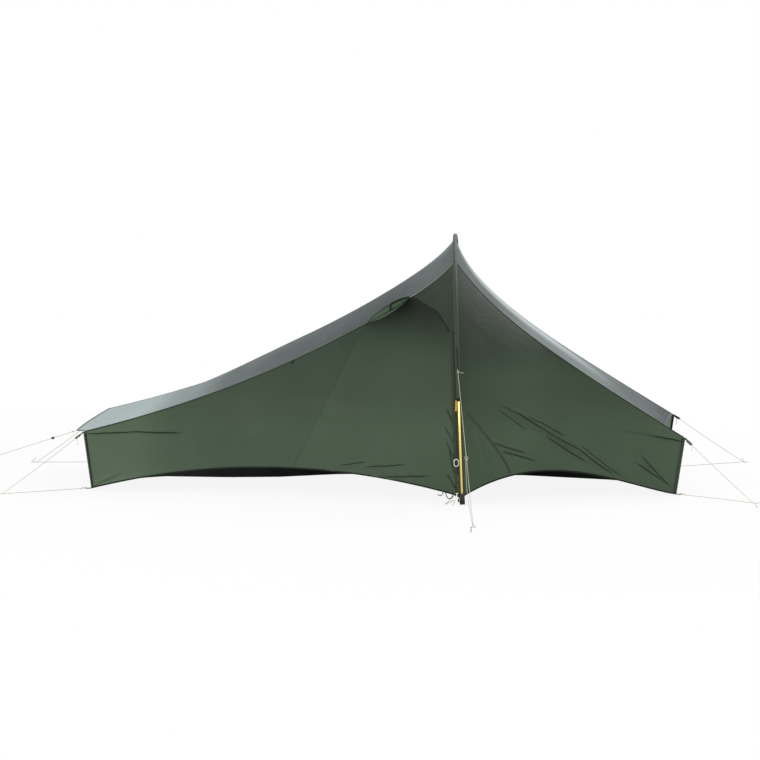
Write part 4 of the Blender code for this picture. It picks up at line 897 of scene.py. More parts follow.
rod_finish = Finish("carbon_rod", 0.32)
rod_finish.set(**{"Coat Weight": 0.5})
twill = rod_finish.use("braid", Cloth=rod_finish.solid, Pitch=3400.0)["Strands"]
speck = rod_finish.use("grain", Place=rod_finish.solid, Scale=1200.0)["Fine"]
colour = rod_finish.mix(speck, (0.006, 0.006, 0.007), (0.030, 0.031, 0.034))
colour = rod_finish.mix(rod_finish.times(twill, 0.4), colour, (0.05, 0.05, 0.055))
carbon = rod_finish.done(colour, [(twill, 0.00008, 0.4)])
print("cord and carbon finishes made")

# %% [markdown]
# ## Guy lines
# The lines come first, because their routes are fixed by the frame. Each is a braided
# cord 2 mm thick. A corner's line leaves the ladder buckle on the upper webbing, runs
# to the peg, turns round the hook and comes back to the webbing at the corner's foot.
# The line of the long end and the two lines of the arch run straight to their pegs.

# %% Pegs' places and directions
CORD, THIN_CORD = 0.002, 0.0009
TOUCH = 0.0003
HOOK_RADIUS, PEG_WIRE = 0.008, 0.004
PEGS = {"left_front": (-1.493, -0.588), "left_back": (-1.497, 0.507),
        "right_front": (1.45, -0.64), "right_back": (1.504, 0.771), "end": (-1.84, 0.0),
        "arch_front": (0.361, -1.433), "arch_back": (0.361, 1.32)}
CORNERS = {"left_front": (-1, -1), "left_back": (-1, 1),
           "right_front": (1, -1), "right_back": (1, 1)}
SIDES = {"front": 1, "back": -1}


def at_peg(spot, towards, past=0.0):
    """Where a line meets a peg's hook, with the directions back along it and across."""
    point = np.array([*spot, CORD / 2 + TOUCH])
    back = unit((towards - point) * np.array([1, 1, 0]))
    across = np.array([-back[1], back[0], 0])
    return point + back * (HOOK_RADIUS + PEG_WIRE / 2 + past + TOUCH), back, across


def line_axes(start, stop):
    along = unit(stop - start)
    level = unit(np.cross(along, UP))
    return along, level, np.cross(along, level)


def straight(start, stop, count, sag=0.0):
    f = np.linspace(0, 1, count)[:, None]
    return blend_to(start, stop, f) - UP * sag * 4 * f * (1 - f)


def cord_piece(name, path, thick=THIN_CORD, sides=8, closed=False):
    made = tube(name, path, thick, guy_look, sides, closed=closed)
    return belong(made, "tent", "guy_cord")


def guy_line(name, path, far_end, pieces, *nodes):
    """A taut line; gives back its length. The knots and loops given with it are not used."""
    line = cord_piece(name, path, CORD / 2, 10)
    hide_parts(*nodes)
    return line_length(path)


print("pegs:", len(PEGS))

# %% Corner routes
WEB_GAP, WEB_THICK, WEB_LIFT = 0.0005, 0.0015, 0.001
WEB_TOP, WEB_FOOT = 0.02, 0.024
LOCK_GAP, LOCK_LONG = 0.0009, 0.022
HOOK_TURN = 0.003


def corner_route(name):
    """All the places of one corner: webbing path, buckle axes and the line's route."""
    sign, side = CORNERS[name]
    foot = np.array([sign * HALF_LENGTH, side * HALF_END_WIDTH, CORNER_BOTTOM])
    head = np.array([sign * (HALF_LENGTH + END_LEAN), side * HALF_END_WIDTH, CORNER_TOP])
    apex, back, level = at_peg(PEGS[name], foot, CORD / 2)
    centre = apex + back * HOOK_TURN
    low, high = foot + UP * WEB_LIFT, head - UP * 0.001
    to_head = line_axes(head, centre + level * HOOK_TURN)[0]
    to_foot = line_axes(low, centre - level * HOOK_TURN)[0]
    gap = -back * WEB_GAP
    webbing = [high + gap + to_head * WEB_TOP, high + gap, low + gap,
               low + gap + to_foot * WEB_FOOT]
    middle = webbing[0] - UP * WEB_THICK / 2
    axes = line_axes(middle, centre + level * HOOK_TURN)
    first = middle + axes[0] * (LOCK_GAP + LOCK_LONG + TOUCH)
    last = webbing[-1] + to_foot * 2 * TOUCH + UP * WEB_THICK / 2
    turn = np.pi * np.arange(9)[:, None] / 8
    bend = centre + HOOK_TURN * (np.cos(turn) * level - np.sin(turn) * back)
    route = [straight(first, bend[0], 28, 0.003)[:-1], bend, straight(bend[-1], last, 24)[1:]]
    return {"webbing": webbing, "out": -back, "axes": axes, "foot": foot, "head": head,
            "lock": middle + axes[0] * LOCK_GAP, "to_foot": to_foot,
            "route": np.concatenate(route)}


corner = {name: corner_route(name) for name in CORNERS}
print({name: round(line_length(c["route"]), 3) for name, c in corner.items()})

# %% [markdown]
# A line ends in an overhand knot. Pulled tight, that is a trefoil round the line, and a
# trefoil is a simple sum of sines, so it is drawn as one closed tube. The line's loop
# round a peg's hook is a tilted ring that stays above the ground.

# %% Knots, tails and peg loops


def knot(name, centre, along, size=0.0021):
    """An overhand knot pulled tight, as a closed trefoil of cord round the line."""
    t = np.linspace(0, 2 * np.pi, 48, endpoint=False)[:, None]
    a, b, c = line_axes(np.zeros(3), np.asarray(along, float) + 1e-6)
    loops = (np.sin(3 * t) * 0.8 * a + 0.5 * (np.sin(t) + 2 * np.sin(2 * t)) * b
             + 0.5 * (np.cos(t) - 2 * np.cos(2 * t)) * c)
    return cord_piece(name, centre + size * loops, CORD * 0.42, closed=True)


def tail(name, path):
    """A short loose end of cord."""
    return cord_piece(name, curve_through(path, 16))


def hook_loop(name, target, spot):
    """A small loop of cord round a peg's hook, tied where the line arrives."""
    centre = np.array([*spot, PEG_WIRE / 2])
    away = unit((centre - target) * np.array([1, 1, 0]))
    over = np.array([-away[1], away[0], 0])
    turn = np.linspace(-2.6, 2.6, 26)[:, None]
    ring = (centre - away * (HOOK_RADIUS + PEG_WIRE / 2) + away * 0.00434 * np.cos(turn)
            + UP * 0.00432 * np.sin(turn) + over * 0.0016 * np.sin(turn / 2))
    ring[:, 2] = np.maximum(ring[:, 2] + 0.0012, CORD * 0.46)
    return cord_piece(name, ring)


for name, c in corner.items():
    end, to_foot = c["route"][-1], c["to_foot"]
    end_knot = knot(f"foot_knot_{name}", end - to_foot * 0.001 + UP * 0.0012, to_foot)
    loose = tail(f"foot_tail_{name}", [end + to_foot * ahead + UP * rise for ahead, rise in (
        (0, 0.0012), (0.006, 0.004), (0.015, 0.003), (0.021, -0.004))])
    guy_line(f"guy_line_{name}", c["route"], "object", [end_knot, loose],
             f"guy_corner_{name}")
print("corner lines:", len(corner))

# %% Line of the long end
tip = roof_spot(LONG_END, 0.0, 0.0) - UP * 0.00025
end_target = at_peg(PEGS["end"], tip)[0]
end_axes = line_axes(tip, end_target)
end_start = tip + end_axes[0] * 3 * TOUCH
end_pieces = [hook_loop("end_peg_loop", end_target, PEGS["end"]),
              knot("end_knot_near_peg", end_target - end_axes[0] * 0.012, end_axes[0]),
              knot("end_knot_near_tip", end_start + end_axes[0] * 0.016, end_axes[0])]
end_long = guy_line("guy_line_end", straight(end_start, end_target, 40), "knot", end_pieces,
                    "guy_end")
print("end line:", round(end_long, 3), "m")

# %% [markdown]
# An arch line starts at a sewn tab on the sleeve. Past the middle it is doubled: the
# second strand bows out beside it, from an eye to the peg, as on a line that is shortened
# by tying it back on itself.

# %% Lines of the arch
SLEEVE_FLAT = SLEEVE_R * math.cos(math.pi / 8) - 0.0003
TAB_HIGH, TAB_STEP = 0.003, 13
DOUBLED_FROM = 0.58


def arch_ways(step, next_step, radius, sign):
    """Two places on one side of the arch, the way down it and the way out."""
    above, below = (on_arch(sign * k * STEP, radius) for k in (step, next_step))
    down = unit(below - above)
    out = unit(np.cross(ARCH_UP, down))
    return above, below, down, out if out[1] * sign < 0 else -out


def arch_tab(sign):
    """The middle of the sewn tab on the sleeve, the way down and the way out."""
    above, below, down, out = arch_ways(TAB_STEP, TAB_STEP + 1, SLEEVE_CIRCLE, sign)
    return (above + below) / 2, down, out


def arch_line(key, sign):
    base, _, out = arch_tab(sign)
    start = base + out * (SLEEVE_FLAT + TAB_HIGH + 2 * TOUCH)
    target = at_peg(PEGS[f"arch_{key}"], start, 0.0004)[0]
    start = start + unit(target - start) * CORD * 0.4
    ahead, level, _ = line_axes(start, target)
    aside = level * sign
    joint = blend_to(start, target, DOUBLED_FROM)
    bow = 0.0022 + 0.007 * np.sin(np.pi * np.linspace(0, 1, 24))[:, None]
    turn = np.linspace(0, 2 * np.pi, 24, endpoint=False)[:, None]
    eye = joint + ahead * (0.0085 * np.cos(turn) - 0.006) + 0.006 * np.sin(turn) * level
    high = start + ahead * 0.012
    pieces = [
        cord_piece(f"arch_second_strand_{key}",
                   straight(joint, target - ahead * 0.02, 24) + aside * bow),
        cord_piece(f"arch_eye_{key}", eye, closed=True),
        tail(f"arch_tag_end_{key}", [high - aside * reach - UP * drop for reach, drop in (
            (0, 0), (0.008, 0.004), (0.016, 0.006), (0.024, 0.005))]),
        knot(f"arch_knot_high_{key}", high, ahead, 0.0024),
        knot(f"arch_knot_low_{key}", joint + ahead * 0.004, ahead, 0.0024),
        knot(f"arch_knot_peg_{key}", target - ahead * 0.014, ahead),
        hook_loop(f"arch_peg_loop_{key}", target, PEGS[f"arch_{key}"])]
    return guy_line(f"guy_line_arch_{key}", straight(start, target, 48), "knot", pieces,
                    f"guy_arch_{key}")


print("arch lines:", [round(arch_line(key, sign), 3) for key, sign in SIDES.items()], "m")

# %% [markdown]
# ## The flysheet
# The flysheet is the tent's outer skin: one continuous sheet over roof, walls and ends,
# with only the door cut free. Its patches share their edge points, so that merging the
# doubles sews them into one surface. The front walls get the finest grid, because they
# carry the folds.

# %% Door edges, vent and hood lines
HOOD_START = 0.885
VENT_FROM, VENT_TO = 0.768, 0.875
ZIP_BACK = 0.014
ZIP_EDGE = ZIP_BACK + 0.0005 + 0.009 + 0.0008
HOOD_SHARE = DOOR_TOP_TURN / (HEM_TURN - SEAM_TURN)
SMALL_STEP = 0.01


def wall_drop(end, u, door_side):
    """Distance down the wall from its seam to its hem."""
    seam, hem = (wall_spot(end, u, w, door_side) for w in (0.0, 1.0))
    return np.linalg.norm(hem - seam, axis=-1)


def hood_edge(u):
    """Lower edge of the fixed corner above the door, as a share of the wall's drop."""
    f = np.clip((np.asarray(u, float) - HOOD_START) / (1 - HOOD_START), 0, 1)
    return HOOD_SHARE * np.minimum(0.92 * f + 0.60 * np.clip(f - 0.64, 0, None), 1.0)


def door_top(u):
    f = np.clip((np.asarray(u, float) - VENT_FROM) / (VENT_TO - VENT_FROM), 0, 1)
    gap = 0.003 + 0.022 * np.sin(np.pi * f) ** 0.7
    return hood_edge(u) + gap / wall_drop(LONG_END, u, True)


def beside_arch(end, w, distance, door_side=False):
    """The u of the point that lies the given distance from the arch, at w."""
    at_arch, near = (wall_spot(end, u, w, door_side) for u in (1.0, 1.0 - SMALL_STEP))
    return 1.0 - distance * SMALL_STEP / np.linalg.norm(at_arch - near, axis=-1)


print("door's top edge beside the arch, down the wall:", round(float(door_top(0.99)), 3))

# %% Folds of the front walls
STEEP_FOLDS = [
    (0.455, 0.376, 0.640, 0.262, 0.011, 0.0028), (0.625, 0.270, 0.780, 0.180, 0.010, 0.0026),
    (0.760, 0.190, 0.900, 0.088, 0.012, 0.0024), (0.526, 0.339, 0.677, 0.237, 0.008, 0.0018),
    (0.559, 0.325, 0.716, 0.242, 0.008, 0.0014), (0.638, 0.244, 0.795, 0.137, 0.010, 0.0022),
    (0.449, 0.356, 0.559, 0.273, 0.008, 0.0020), (0.425, 0.232, 0.561, 0.181, 0.009, 0.0018),
    (0.464, 0.196, 0.594, 0.154, 0.008, 0.0016), (0.826, 0.231, 0.874, 0.186, 0.009, 0.0014),
    (0.874, 0.127, 0.959, 0.068, 0.010, 0.0018), (1.011, 0.161, 1.123, 0.040, 0.010, 0.0030),
    (0.992, 0.132, 1.091, 0.066, 0.010, 0.0020), (1.062, 0.236, 1.170, 0.217, 0.009, 0.0024),
    (0.768, 0.207, 0.927, 0.081, 0.010, 0.0018), (0.900, 0.262, 1.165, 0.225, 0.014, 0.0020),
    (0.345, 0.300, 0.400, 0.150, 0.014, 0.0022)]
LONG_FOLDS = [
    (-0.160, 0.130, -0.063, 0.147, 0.008, 0.0022), (-0.062, 0.126, 0.092, 0.145, 0.009, 0.0026),
    (-0.209, 0.116, -0.108, 0.120, 0.008, 0.0016), (-0.034, 0.100, 0.045, 0.108, 0.007, 0.0020),
    (0.010, 0.093, 0.187, 0.103, 0.008, 0.0024), (0.062, 0.109, 0.139, 0.113, 0.007, 0.0018),
    (0.238, 0.310, 0.283, 0.238, 0.009, 0.0024), (0.243, 0.258, 0.287, 0.170, 0.009, 0.0026),
    (0.250, 0.130, 0.287, 0.060, 0.009, 0.0024), (0.246, 0.380, 0.280, 0.305, 0.009, 0.0022),
    (-1.165, 0.224, -0.985, 0.232, 0.009, 0.0030), (-1.000, 0.233, -0.795, 0.230, 0.010, 0.0022),
    (-1.140, 0.020, -1.030, 0.072, 0.009, 0.0020), (-1.135, 0.012, -0.990, 0.047, 0.009, 0.0016),
    (-0.900, 0.060, -0.500, 0.090, 0.022, 0.0018), (-0.300, 0.360, -0.060, 0.330, 0.040, 0.0030)]


def with_folds(grid, folds, keep):
    """Raises the folds square to the cloth, less where keep is low."""
    normal = grid_normals(grid)
    outwards = np.sign(np.median((normal * np.array([0, -1.0, 0.3])).sum(-1)))
    return grid + normal * outwards * (fold_relief(grid, folds) * keep)[..., None]


def front_cloth(end, u, w, keep=None):
    """The front wall with its folds, which fade out at the seam and the arch."""
    u, w = np.broadcast_arrays(u, w)
    steep = end is STEEP_END
    if keep is None:
        keep = smooth_step(0, 0.03, w) * (smooth_step(0, 0.015, 1 - u) if steep else 1.0)
    return with_folds(wall_spot(end, u, w, not steep), STEEP_FOLDS if steep else LONG_FOLDS,
                      keep)


print(len(STEEP_FOLDS) + len(LONG_FOLDS), "folds")

# %% Patches of the flysheet
INSIDE, INSIDE_DOOR = (0.1, 0.0, 0.25), (0.1, 0.3, 0.25)
FLY_THICK = 0.0004
steep_t = np.linspace(0.0, 1.0, 271)
fixed_t = np.linspace(0.0, FOLD_TOP, 111)
long_t = np.concatenate([fixed_t, np.linspace(FOLD_TOP, 1.0, 41)[1:]])
long_lines = {"steep": steep_t[:, None], "long": long_t[:, None]}
round_roof = np.linspace(-1, 1, 17)
coarse_w = np.linspace(0, 1, 9)
fine_w = np.linspace(0, 1, 107) ** 0.8

hood_t = long_t[long_t > HOOD_START + 0.006]
hood_w = hood_edge(hood_t)[:, None] * np.linspace(0, 1, 13)[None]
end_v = np.linspace(-1, 1, 25)
end_foot, end_head = {}, {"steep": roof_spot(STEEP_END, 0.0, end_v)}
for name, end in ENDS.items():
    end_foot[name] = np.stack([np.full(25, end["sign"] * HALF_LENGTH),
                               end_v * HALF_END_WIDTH, np.full(25, CORNER_BOTTOM)], axis=-1)
end_head["long"] = np.stack([np.full(25, -HALF_LENGTH - END_LEAN), end_v * HALF_END_WIDTH,
                             CORNER_TOP - 0.036 * (1 - np.abs(end_v)) - 0.001], axis=-1)


def end_strip(name, rise):
    return blend_to(end_foot[name][:, None], end_head[name][:, None], rise[None, :, None])


patches = [(roof_spot(LONG_END, long_lines["long"], round_roof), 1, None),
           (roof_spot(STEEP_END, long_lines["steep"], round_roof), 1, None),
           (front_cloth(STEEP_END, long_lines["steep"], fine_w), 2, None),
           front_cloth(LONG_END, fixed_t[:, None], np.linspace(0, 1, 61)),
           wall_spot(LONG_END, hood_t[:, None], hood_w, True)]
patches += [wall_spot(end, long_lines[name], coarse_w) * FLIP for name, end in ENDS.items()]
patches += [end_strip(name, np.linspace(0, 1, 13)) for name in ENDS]
flysheet = sew("flysheet", patches, [wall_cloth, roof_cloth, steep_painted_light_cloth], INSIDE, FLY_THICK)
belong(flysheet, "tent", "fly_cloth", "fly_roof_left", "fly_roof_right",
       "fly_wall_front_left", "fly_wall_front_right", "fly_wall_back_left",
       "fly_wall_back_right", "fly_end_left", "fly_end_right", "fly_door_hood")
print("flysheet:", len(flysheet.data.polygons), "faces")

# %% [markdown]
# The door is the part of the long front wall between a straight fold line and the zip
# beside the arch. It is its own piece, so that it can swing, but it has the same cloth
# and follows the same surface. Its edges depend on each other, so its grid is found by
# going round them a few times.

# %% Door


def door_held(u):
    """How much of its folds the door keeps, down to none at the zip."""
    return smooth_step(0, 0.04, 1 - (u - FOLD_TOP) / (1 - FOLD_TOP))


f, s = np.meshgrid(np.linspace(0, 1, 61), np.linspace(0, 1, 61), indexing="ij")
door_w = s.copy()
for _ in range(5):
    zip_u = beside_arch(LONG_END, door_w, ZIP_EDGE, True)
    door_u = blend_to(FOLD_TOP + 0.0004, zip_u, f)
    door_w = blend_to(door_top(door_u), 1.0, s)
door_points = wall_spot(LONG_END, door_u, door_w, True)
rim_turn = np.arctan2(-door_points[-1, :, 1],
                      door_points[-1, :, 2] / math.cos(ARCH_LEAN) - CENTRE)
door_points[-1] = on_arch(np.minimum(rim_turn, HEM_TURN), CLOTH_CIRCLE, -ZIP_EDGE)
door_points = with_folds(door_points, LONG_FOLDS, door_held(door_u))
door = sew("fly_door_cloth", [door_points], [door_painted_light_look], INSIDE_DOOR, FLY_THICK)
belong(door, "door", "fly_cloth", "fly_door")
print("door:", len(door.data.polygons), "faces")

# %% [markdown]
# ## Tapes, bindings and seams
# On a real flysheet every edge is bound with woven tape, and the roof seams are folded
# over and stitched twice. Each tape here is a thin strip laid on the same surface
# functions as the cloth, so it follows every curve and fold, and its UVs in metres put
# the stitches at their real pitch.

# %% Laying a tape on the cloth


def lay(name, spots, look, lift=0.0006, thick=0.0009, body="tent", slot="black_trim"):
    """A strip of tape on a grid of cloth points: rows along it, columns across."""
    normal = grid_normals(spots)
    outwards = np.sign(np.median(((spots - np.array(INSIDE)) * normal).sum(-1)))
    made = sew(name, [spots + normal * outwards * lift], [look], INSIDE, thick, 0.00005)
    return belong(made, body, slot)


def down_from(end, u, edge, reaches, door_side):
    """w values at the given distances, in metres, below an edge given as w."""
    return edge + np.asarray(reaches)[None] / wall_drop(end, u, door_side)[:, None]


def roof_beside(end, v, distance):
    """t of the roof point that lies the given distance from the arch."""
    step = roof_spot(end, 1.0, v) - roof_spot(end, 1.0 - SMALL_STEP, v)
    return 1.0 - distance * SMALL_STEP / np.linalg.norm(step, axis=-1)


def to_zip(start, count, w=1.0):
    """u values along the door's side, up to the zip at the given w."""
    return np.linspace(start, float(beside_arch(LONG_END, np.array(w), ZIP_EDGE, True)), count)


half_way = wall_drop(STEEP_END, np.array([0.5]), False)[0]
print("steep wall's drop at its middle:", round(float(half_way), 3), "m")

# %% [markdown]
# A hem is bound with a woven tape folded round the edge, so a narrow band shows on the
# outside. Each wall, each end and the door has its own length, since the real tape is
# cut where the panels meet.

# %% Hems
HEM_BAND = (-0.0056, -0.0037, -0.0018, 0.0003)
HEM_LIFT_OFF, HEM_THICK = 0.0005, 0.0014
END_BAND = np.array([0.0, 0.004, 0.008, 0.0115]) / 0.225
NEAR_ARCH = 0.992
DOOR_FROM = FOLD_TOP + 0.0006
hem_tapes, door_tapes = [], []
HEM_RUNS = {"steep_front": (STEEP_END, np.linspace(0.0, NEAR_ARCH, 150), False),
            "long_front": (LONG_END, np.linspace(0.0, FOLD_TOP, 110), True),
            "steep_back": (STEEP_END, np.linspace(0.0, NEAR_ARCH, 70), False),
            "long_back": (LONG_END, np.linspace(0.0, NEAR_ARCH, 70), False)}
for name, (end, u, door_side) in HEM_RUNS.items():
    w = down_from(end, u, 1.0, HEM_BAND, door_side)
    if name.endswith("back"):
        spots = wall_spot(end, u[:, None], w) * FLIP
    else:
        spots = front_cloth(end, u[:, None], w)
    hem_tapes.append(lay(f"hem_binding_{name}", spots, binding, HEM_LIFT_OFF, HEM_THICK))
u = to_zip(DOOR_FROM, 50)[:, None]
w = down_from(LONG_END, u[:, 0], 1.0, HEM_BAND, True)
door_tapes.append(lay("door_hem_binding", front_cloth(LONG_END, u, w, door_held(u)), binding,
                      HEM_LIFT_OFF, HEM_THICK, "door"))
for name in ENDS:
    hem_tapes.append(lay(f"hem_binding_{name}_end", end_strip(name, END_BAND), binding,
                         HEM_LIFT_OFF, HEM_THICK))
print("hem bindings:", len(hem_tapes) + len(door_tapes))

# %% [markdown]
# The roof seam joins roof and wall along the whole length. It is a folded seam with two
# rows of stitches on the roof side, and beside the arch a pale piping shows under it.

# %% Roof seams, piping and end edges
for name, end in ENDS.items():
    for side_name, side in (("front", -1), ("back", 1)):
        t = np.linspace(0.004, float(roof_beside(end, np.array(-1.0), 0.011)), 160)
        per_v = np.linalg.norm(roof_spot(end, t, -0.97) - roof_spot(end, t, -1.0), axis=-1)
        reaches = np.array([-0.0002, 0.003, 0.006, 0.0098])[None] * 0.03 / per_v[:, None]
        spots = roof_spot(end, t[:, None], side * (1 - reaches))
        lay(f"roof_seam_{name}_{side_name}", spots, seam_tape,
                              0.0009, 0.0009, slot="roof_cloth")
for name, end in ENDS.items():
    v = np.linspace(-1, 1, 60)[:, None]
    per_t = roof_spot(end, SMALL_STEP, v) - roof_spot(end, 0.0, v)
    per_t = np.linalg.norm(per_t, axis=-1) / SMALL_STEP
    spots = roof_spot(end, np.array([0.0, 0.003, 0.006, 0.009])[None] / per_t, v)
    lay(f"roof_end_tape_{name}", spots, seam_tape, 0.0012, 0.0011,
                          slot="roof_cloth")
u = np.linspace(VENT_TO + 0.003, float(beside_arch(LONG_END, np.array(0.0), 0.011, True)), 50)
w = down_from(LONG_END, u, 0.0, (0.0004, 0.0014, 0.0024), True)
lay("seam_piping", wall_spot(LONG_END, u[:, None], w, True), piping,
                      0.0014, 0.0014, slot="roof_cloth")
# Painted shade: a dark strip along the wall side of each seam stands for its shadow.
for name, last in (("steep", 0.99), ("long", VENT_FROM - 0.002)):
    u = np.linspace(0.004, last, 160)
    w = down_from(ENDS[name], u, 0.0, (0.0002, 0.0012, 0.0022, 0.0032), name == "long")
    lay(f"painted_seam_shadow_{name}",
                          front_cloth(ENDS[name], u[:, None], w), binding, 0.0010, 0.0010)

# %% [markdown]
# At each corner the end panel meets the side wall in a short upright seam, covered by a
# tape of the wall's own colour.

# %% Corner tapes
w, u = np.linspace(0.02, 0.985, 50)[:, None], np.array([0.0, 0.0015, 0.003, 0.0045]) / 0.9
for name, end in ENDS.items():
    corner_cloth = {"front": front_cloth(end, u, w), "back": wall_spot(end, u, w) * FLIP}
    for side_name, spots in corner_cloth.items():
        lay(f"corner_tape_{name}_{side_name}", spots, wall_tape,
                              0.0008, 0.0009, slot="fly_cloth")

# %% [markdown]
# A stitched flange holds the sleeve down to the cloth on its steep side; on the door
# side the fixed zip tape is sewn in under it.

# %% Sleeve flanges
FLANGE_REACHES = (0.0012, 0.0045, 0.0078, 0.0110)
wall_line, roof_line = np.linspace(0.0, 0.985, 110), np.linspace(-0.985, 0.985, 60)
flanges = []


def flange(name, spots, look, slot):
    flanges.append(lay(name, spots, look, 0.0008, 0.0009, slot=slot))


def wall_flange(end):
    u = np.stack([beside_arch(end, wall_line, r) for r in FLANGE_REACHES], axis=1)
    return wall_spot(end, u, wall_line[:, None])


flange("sleeve_flange_steep_front", wall_flange(STEEP_END), wall_tape, "fly_cloth")
flange("sleeve_flange_steep_back", wall_flange(STEEP_END) * FLIP, wall_tape, "fly_cloth")
for name, end in ENDS.items():
    t = np.stack([roof_beside(end, roof_line, r) for r in FLANGE_REACHES], axis=1)
    flange(f"roof_flange_{name}", roof_spot(end, t, roof_line[:, None]), seam_tape,
           "roof_cloth")
flange("sleeve_flange_long_back", wall_flange(LONG_END) * FLIP, wall_tape, "fly_cloth")
print("flanges:", len(flanges))

# %% [markdown]
# A short seam runs down the steep wall where a patch reinforces it beside the sleeve.
# Its line is known in the side view, so the wall's own coordinates under it are found
# with Newton's method, starting from the nearest point of a coarse grid.

# %% Patch seam on the steep wall
PATCH_LINE = [(0.330, 0.352), (0.372, 0.303), (0.418, 0.242), (0.450, 0.198),
              (0.476, 0.158), (0.497, 0.112)]
PATCH_WIDE = 0.007


def wall_place(end, x, z):
    """u and w of the front wall's points with these x and z."""
    door_side, small = end is LONG_END, 1e-4
    grid = np.meshgrid(np.linspace(0.02, 0.995, 60), np.linspace(0.02, 0.98, 60),
                       indexing="ij")
    u, w = (axis.ravel() for axis in grid)
    spots = wall_spot(end, u, w, door_side)
    off = (spots[None, :, 0] - x[:, None]) ** 2 + (spots[None, :, 2] - z[:, None]) ** 2
    near = np.argmin(off, axis=1)
    u, w = u[near], w[near]
    for _ in range(12):
        here = wall_spot(end, u, w, door_side)
        by_u = (wall_spot(end, u + small, w, door_side) - here) / small
        by_w = (wall_spot(end, u, w + small, door_side) - here) / small
        dx, dz = x - here[:, 0], z - here[:, 2]
        area = by_u[:, 0] * by_w[:, 2] - by_u[:, 2] * by_w[:, 0]
        u = np.clip(u + (dx * by_w[:, 2] - dz * by_w[:, 0]) / area, 0.001, 0.999)
        w = np.clip(w + (dz * by_u[:, 0] - dx * by_u[:, 2]) / area, 0.001, 0.999)
    return u, w


def wall_stripe(name, end, line, width, look):
    """A tape along a line given by x and z in the side view."""
    path = curve_through([(x, 0, z) for x, z in line], 60)
    along = unit(np.gradient(path, axis=0))
    x, z = ((path[:, axis, None] + step[:, None] * np.linspace(-width / 2, width / 2, 4))
            for axis, step in ((0, -along[:, 2]), (2, along[:, 0])))
    u, w = (found.reshape(x.shape) for found in wall_place(end, x.ravel(), z.ravel()))
    return lay(name, front_cloth(end, u, w), look, 0.0008, 0.0008, slot="fly_cloth")


flanges.append(wall_stripe("patch_seam", STEEP_END, PATCH_LINE, PATCH_WIDE, wall_tape))
print("flanges and patch seam:", len(flanges))

# %% [markdown]
# The door's top edge hangs under the roof seam and has a bound lip. Beside the arch, a
# small fixed panel covers the corner above the door, with a bound edge of its own.

# %% Door's top edge and the panel above it
u = to_zip(DOOR_FROM, 90, 0.27)[:, None]
w = down_from(LONG_END, u[:, 0], door_top(u), (-0.0006, 0.0012, 0.0030, 0.0048), True)
door_tapes.append(lay("door_top_binding", front_cloth(LONG_END, u, w, door_held(u)), binding,
                      0.0008, 0.0018, "door"))
u = np.linspace(HOOD_START + 0.014, 0.996, 60)
w = down_from(LONG_END, u, hood_edge(u)[:, None], (-0.0036, -0.0023, -0.0010, 0.0003), True)
lay("door_panel_binding", wall_spot(LONG_END, u[:, None], np.maximum(w, 0.0005), True),
    binding, 0.0010, 0.0018)
print("door tapes:", len(door_tapes))

# %% [markdown]
# ## The vent
# The vent is a long mouth under the roof edge. Netting closes it, a hood of roof cloth
# stands over it, and a stiff black stay in the hood's rim holds the mouth open. A short
# prop stands between the rim and the door's bound lip. The netting's holes are a mask
# in its finish: two rows of waves, see-through where both are low.

# %% Netting finish
NET_PITCH = 1900.0
net_finish = Finish("vent_netting", 0.7, 0.2)
holes = [net_finish.ramp(net_finish.calc("ABSOLUTE", net_finish.wave(way, NET_PITCH)),
                         0.25, 0.45, 1.0, 0.0)
         for way in net_finish.split(net_finish.cloth)[:2]]
threads = net_finish.calc("MAXIMUM", *holes)
net_finish.set(Alpha=net_finish.ramp(threads, 0.0, 1.0, 0.55, 1.0))
netting = net_finish.done(net_finish.mix(threads, (0.085, 0.125, 0.082),
                                         (0.150, 0.205, 0.142)), [(threads, 0.0003, 0.7)])
print("netting hole every", round(math.pi / NET_PITCH * 1000, 1), "mm")

# %% Vent hood, stay and rim tapes
VENT_OUT = np.array([0.0, -0.8, 0.6])
HOOD_OUT = 0.04
STAY_OFF, STAY_RADIUS, POCKET_RADIUS = 0.0034, 0.0030, 0.0036
POCKET_END = 34


def vent_reach(f):
    return blend_to(0.15, 1.0, np.sin(np.pi * f) ** 0.7) * HOOD_OUT


share = np.linspace(0, 1, 61)
vent_edge = seam_line(LONG_END, blend_to(VENT_FROM, VENT_TO, share))
rim_reach = vent_reach(np.clip(share, 1e-6, 1 - 1e-6))[:, None]
reach = blend_to(0.0001, rim_reach, np.linspace(0, 1, 9)[None])
hood_points = vent_edge[:, None] + VENT_OUT * reach[..., None]
# The lining is a paler green than the walls: painted light shining through the hood.
painted_backlight_lining = coated_cloth("vent_lining", (0.150, 0.245, 0.150), (0.205, 0.320, 0.200),
                      0.6, 0.2, 0.05)
vent_hood = sew("vent_hood_cloth", [hood_points], [roof_cloth, painted_backlight_lining], INSIDE_DOOR, FLY_THICK)
# Faces that look down take the paler lining, which is painted light on the underside.
for polygon in vent_hood.data.polygons:
    polygon.material_index = int(polygon.normal.z < -0.2)
belong(vent_hood, "vent_cover", "fly_cloth", "vent_hood")

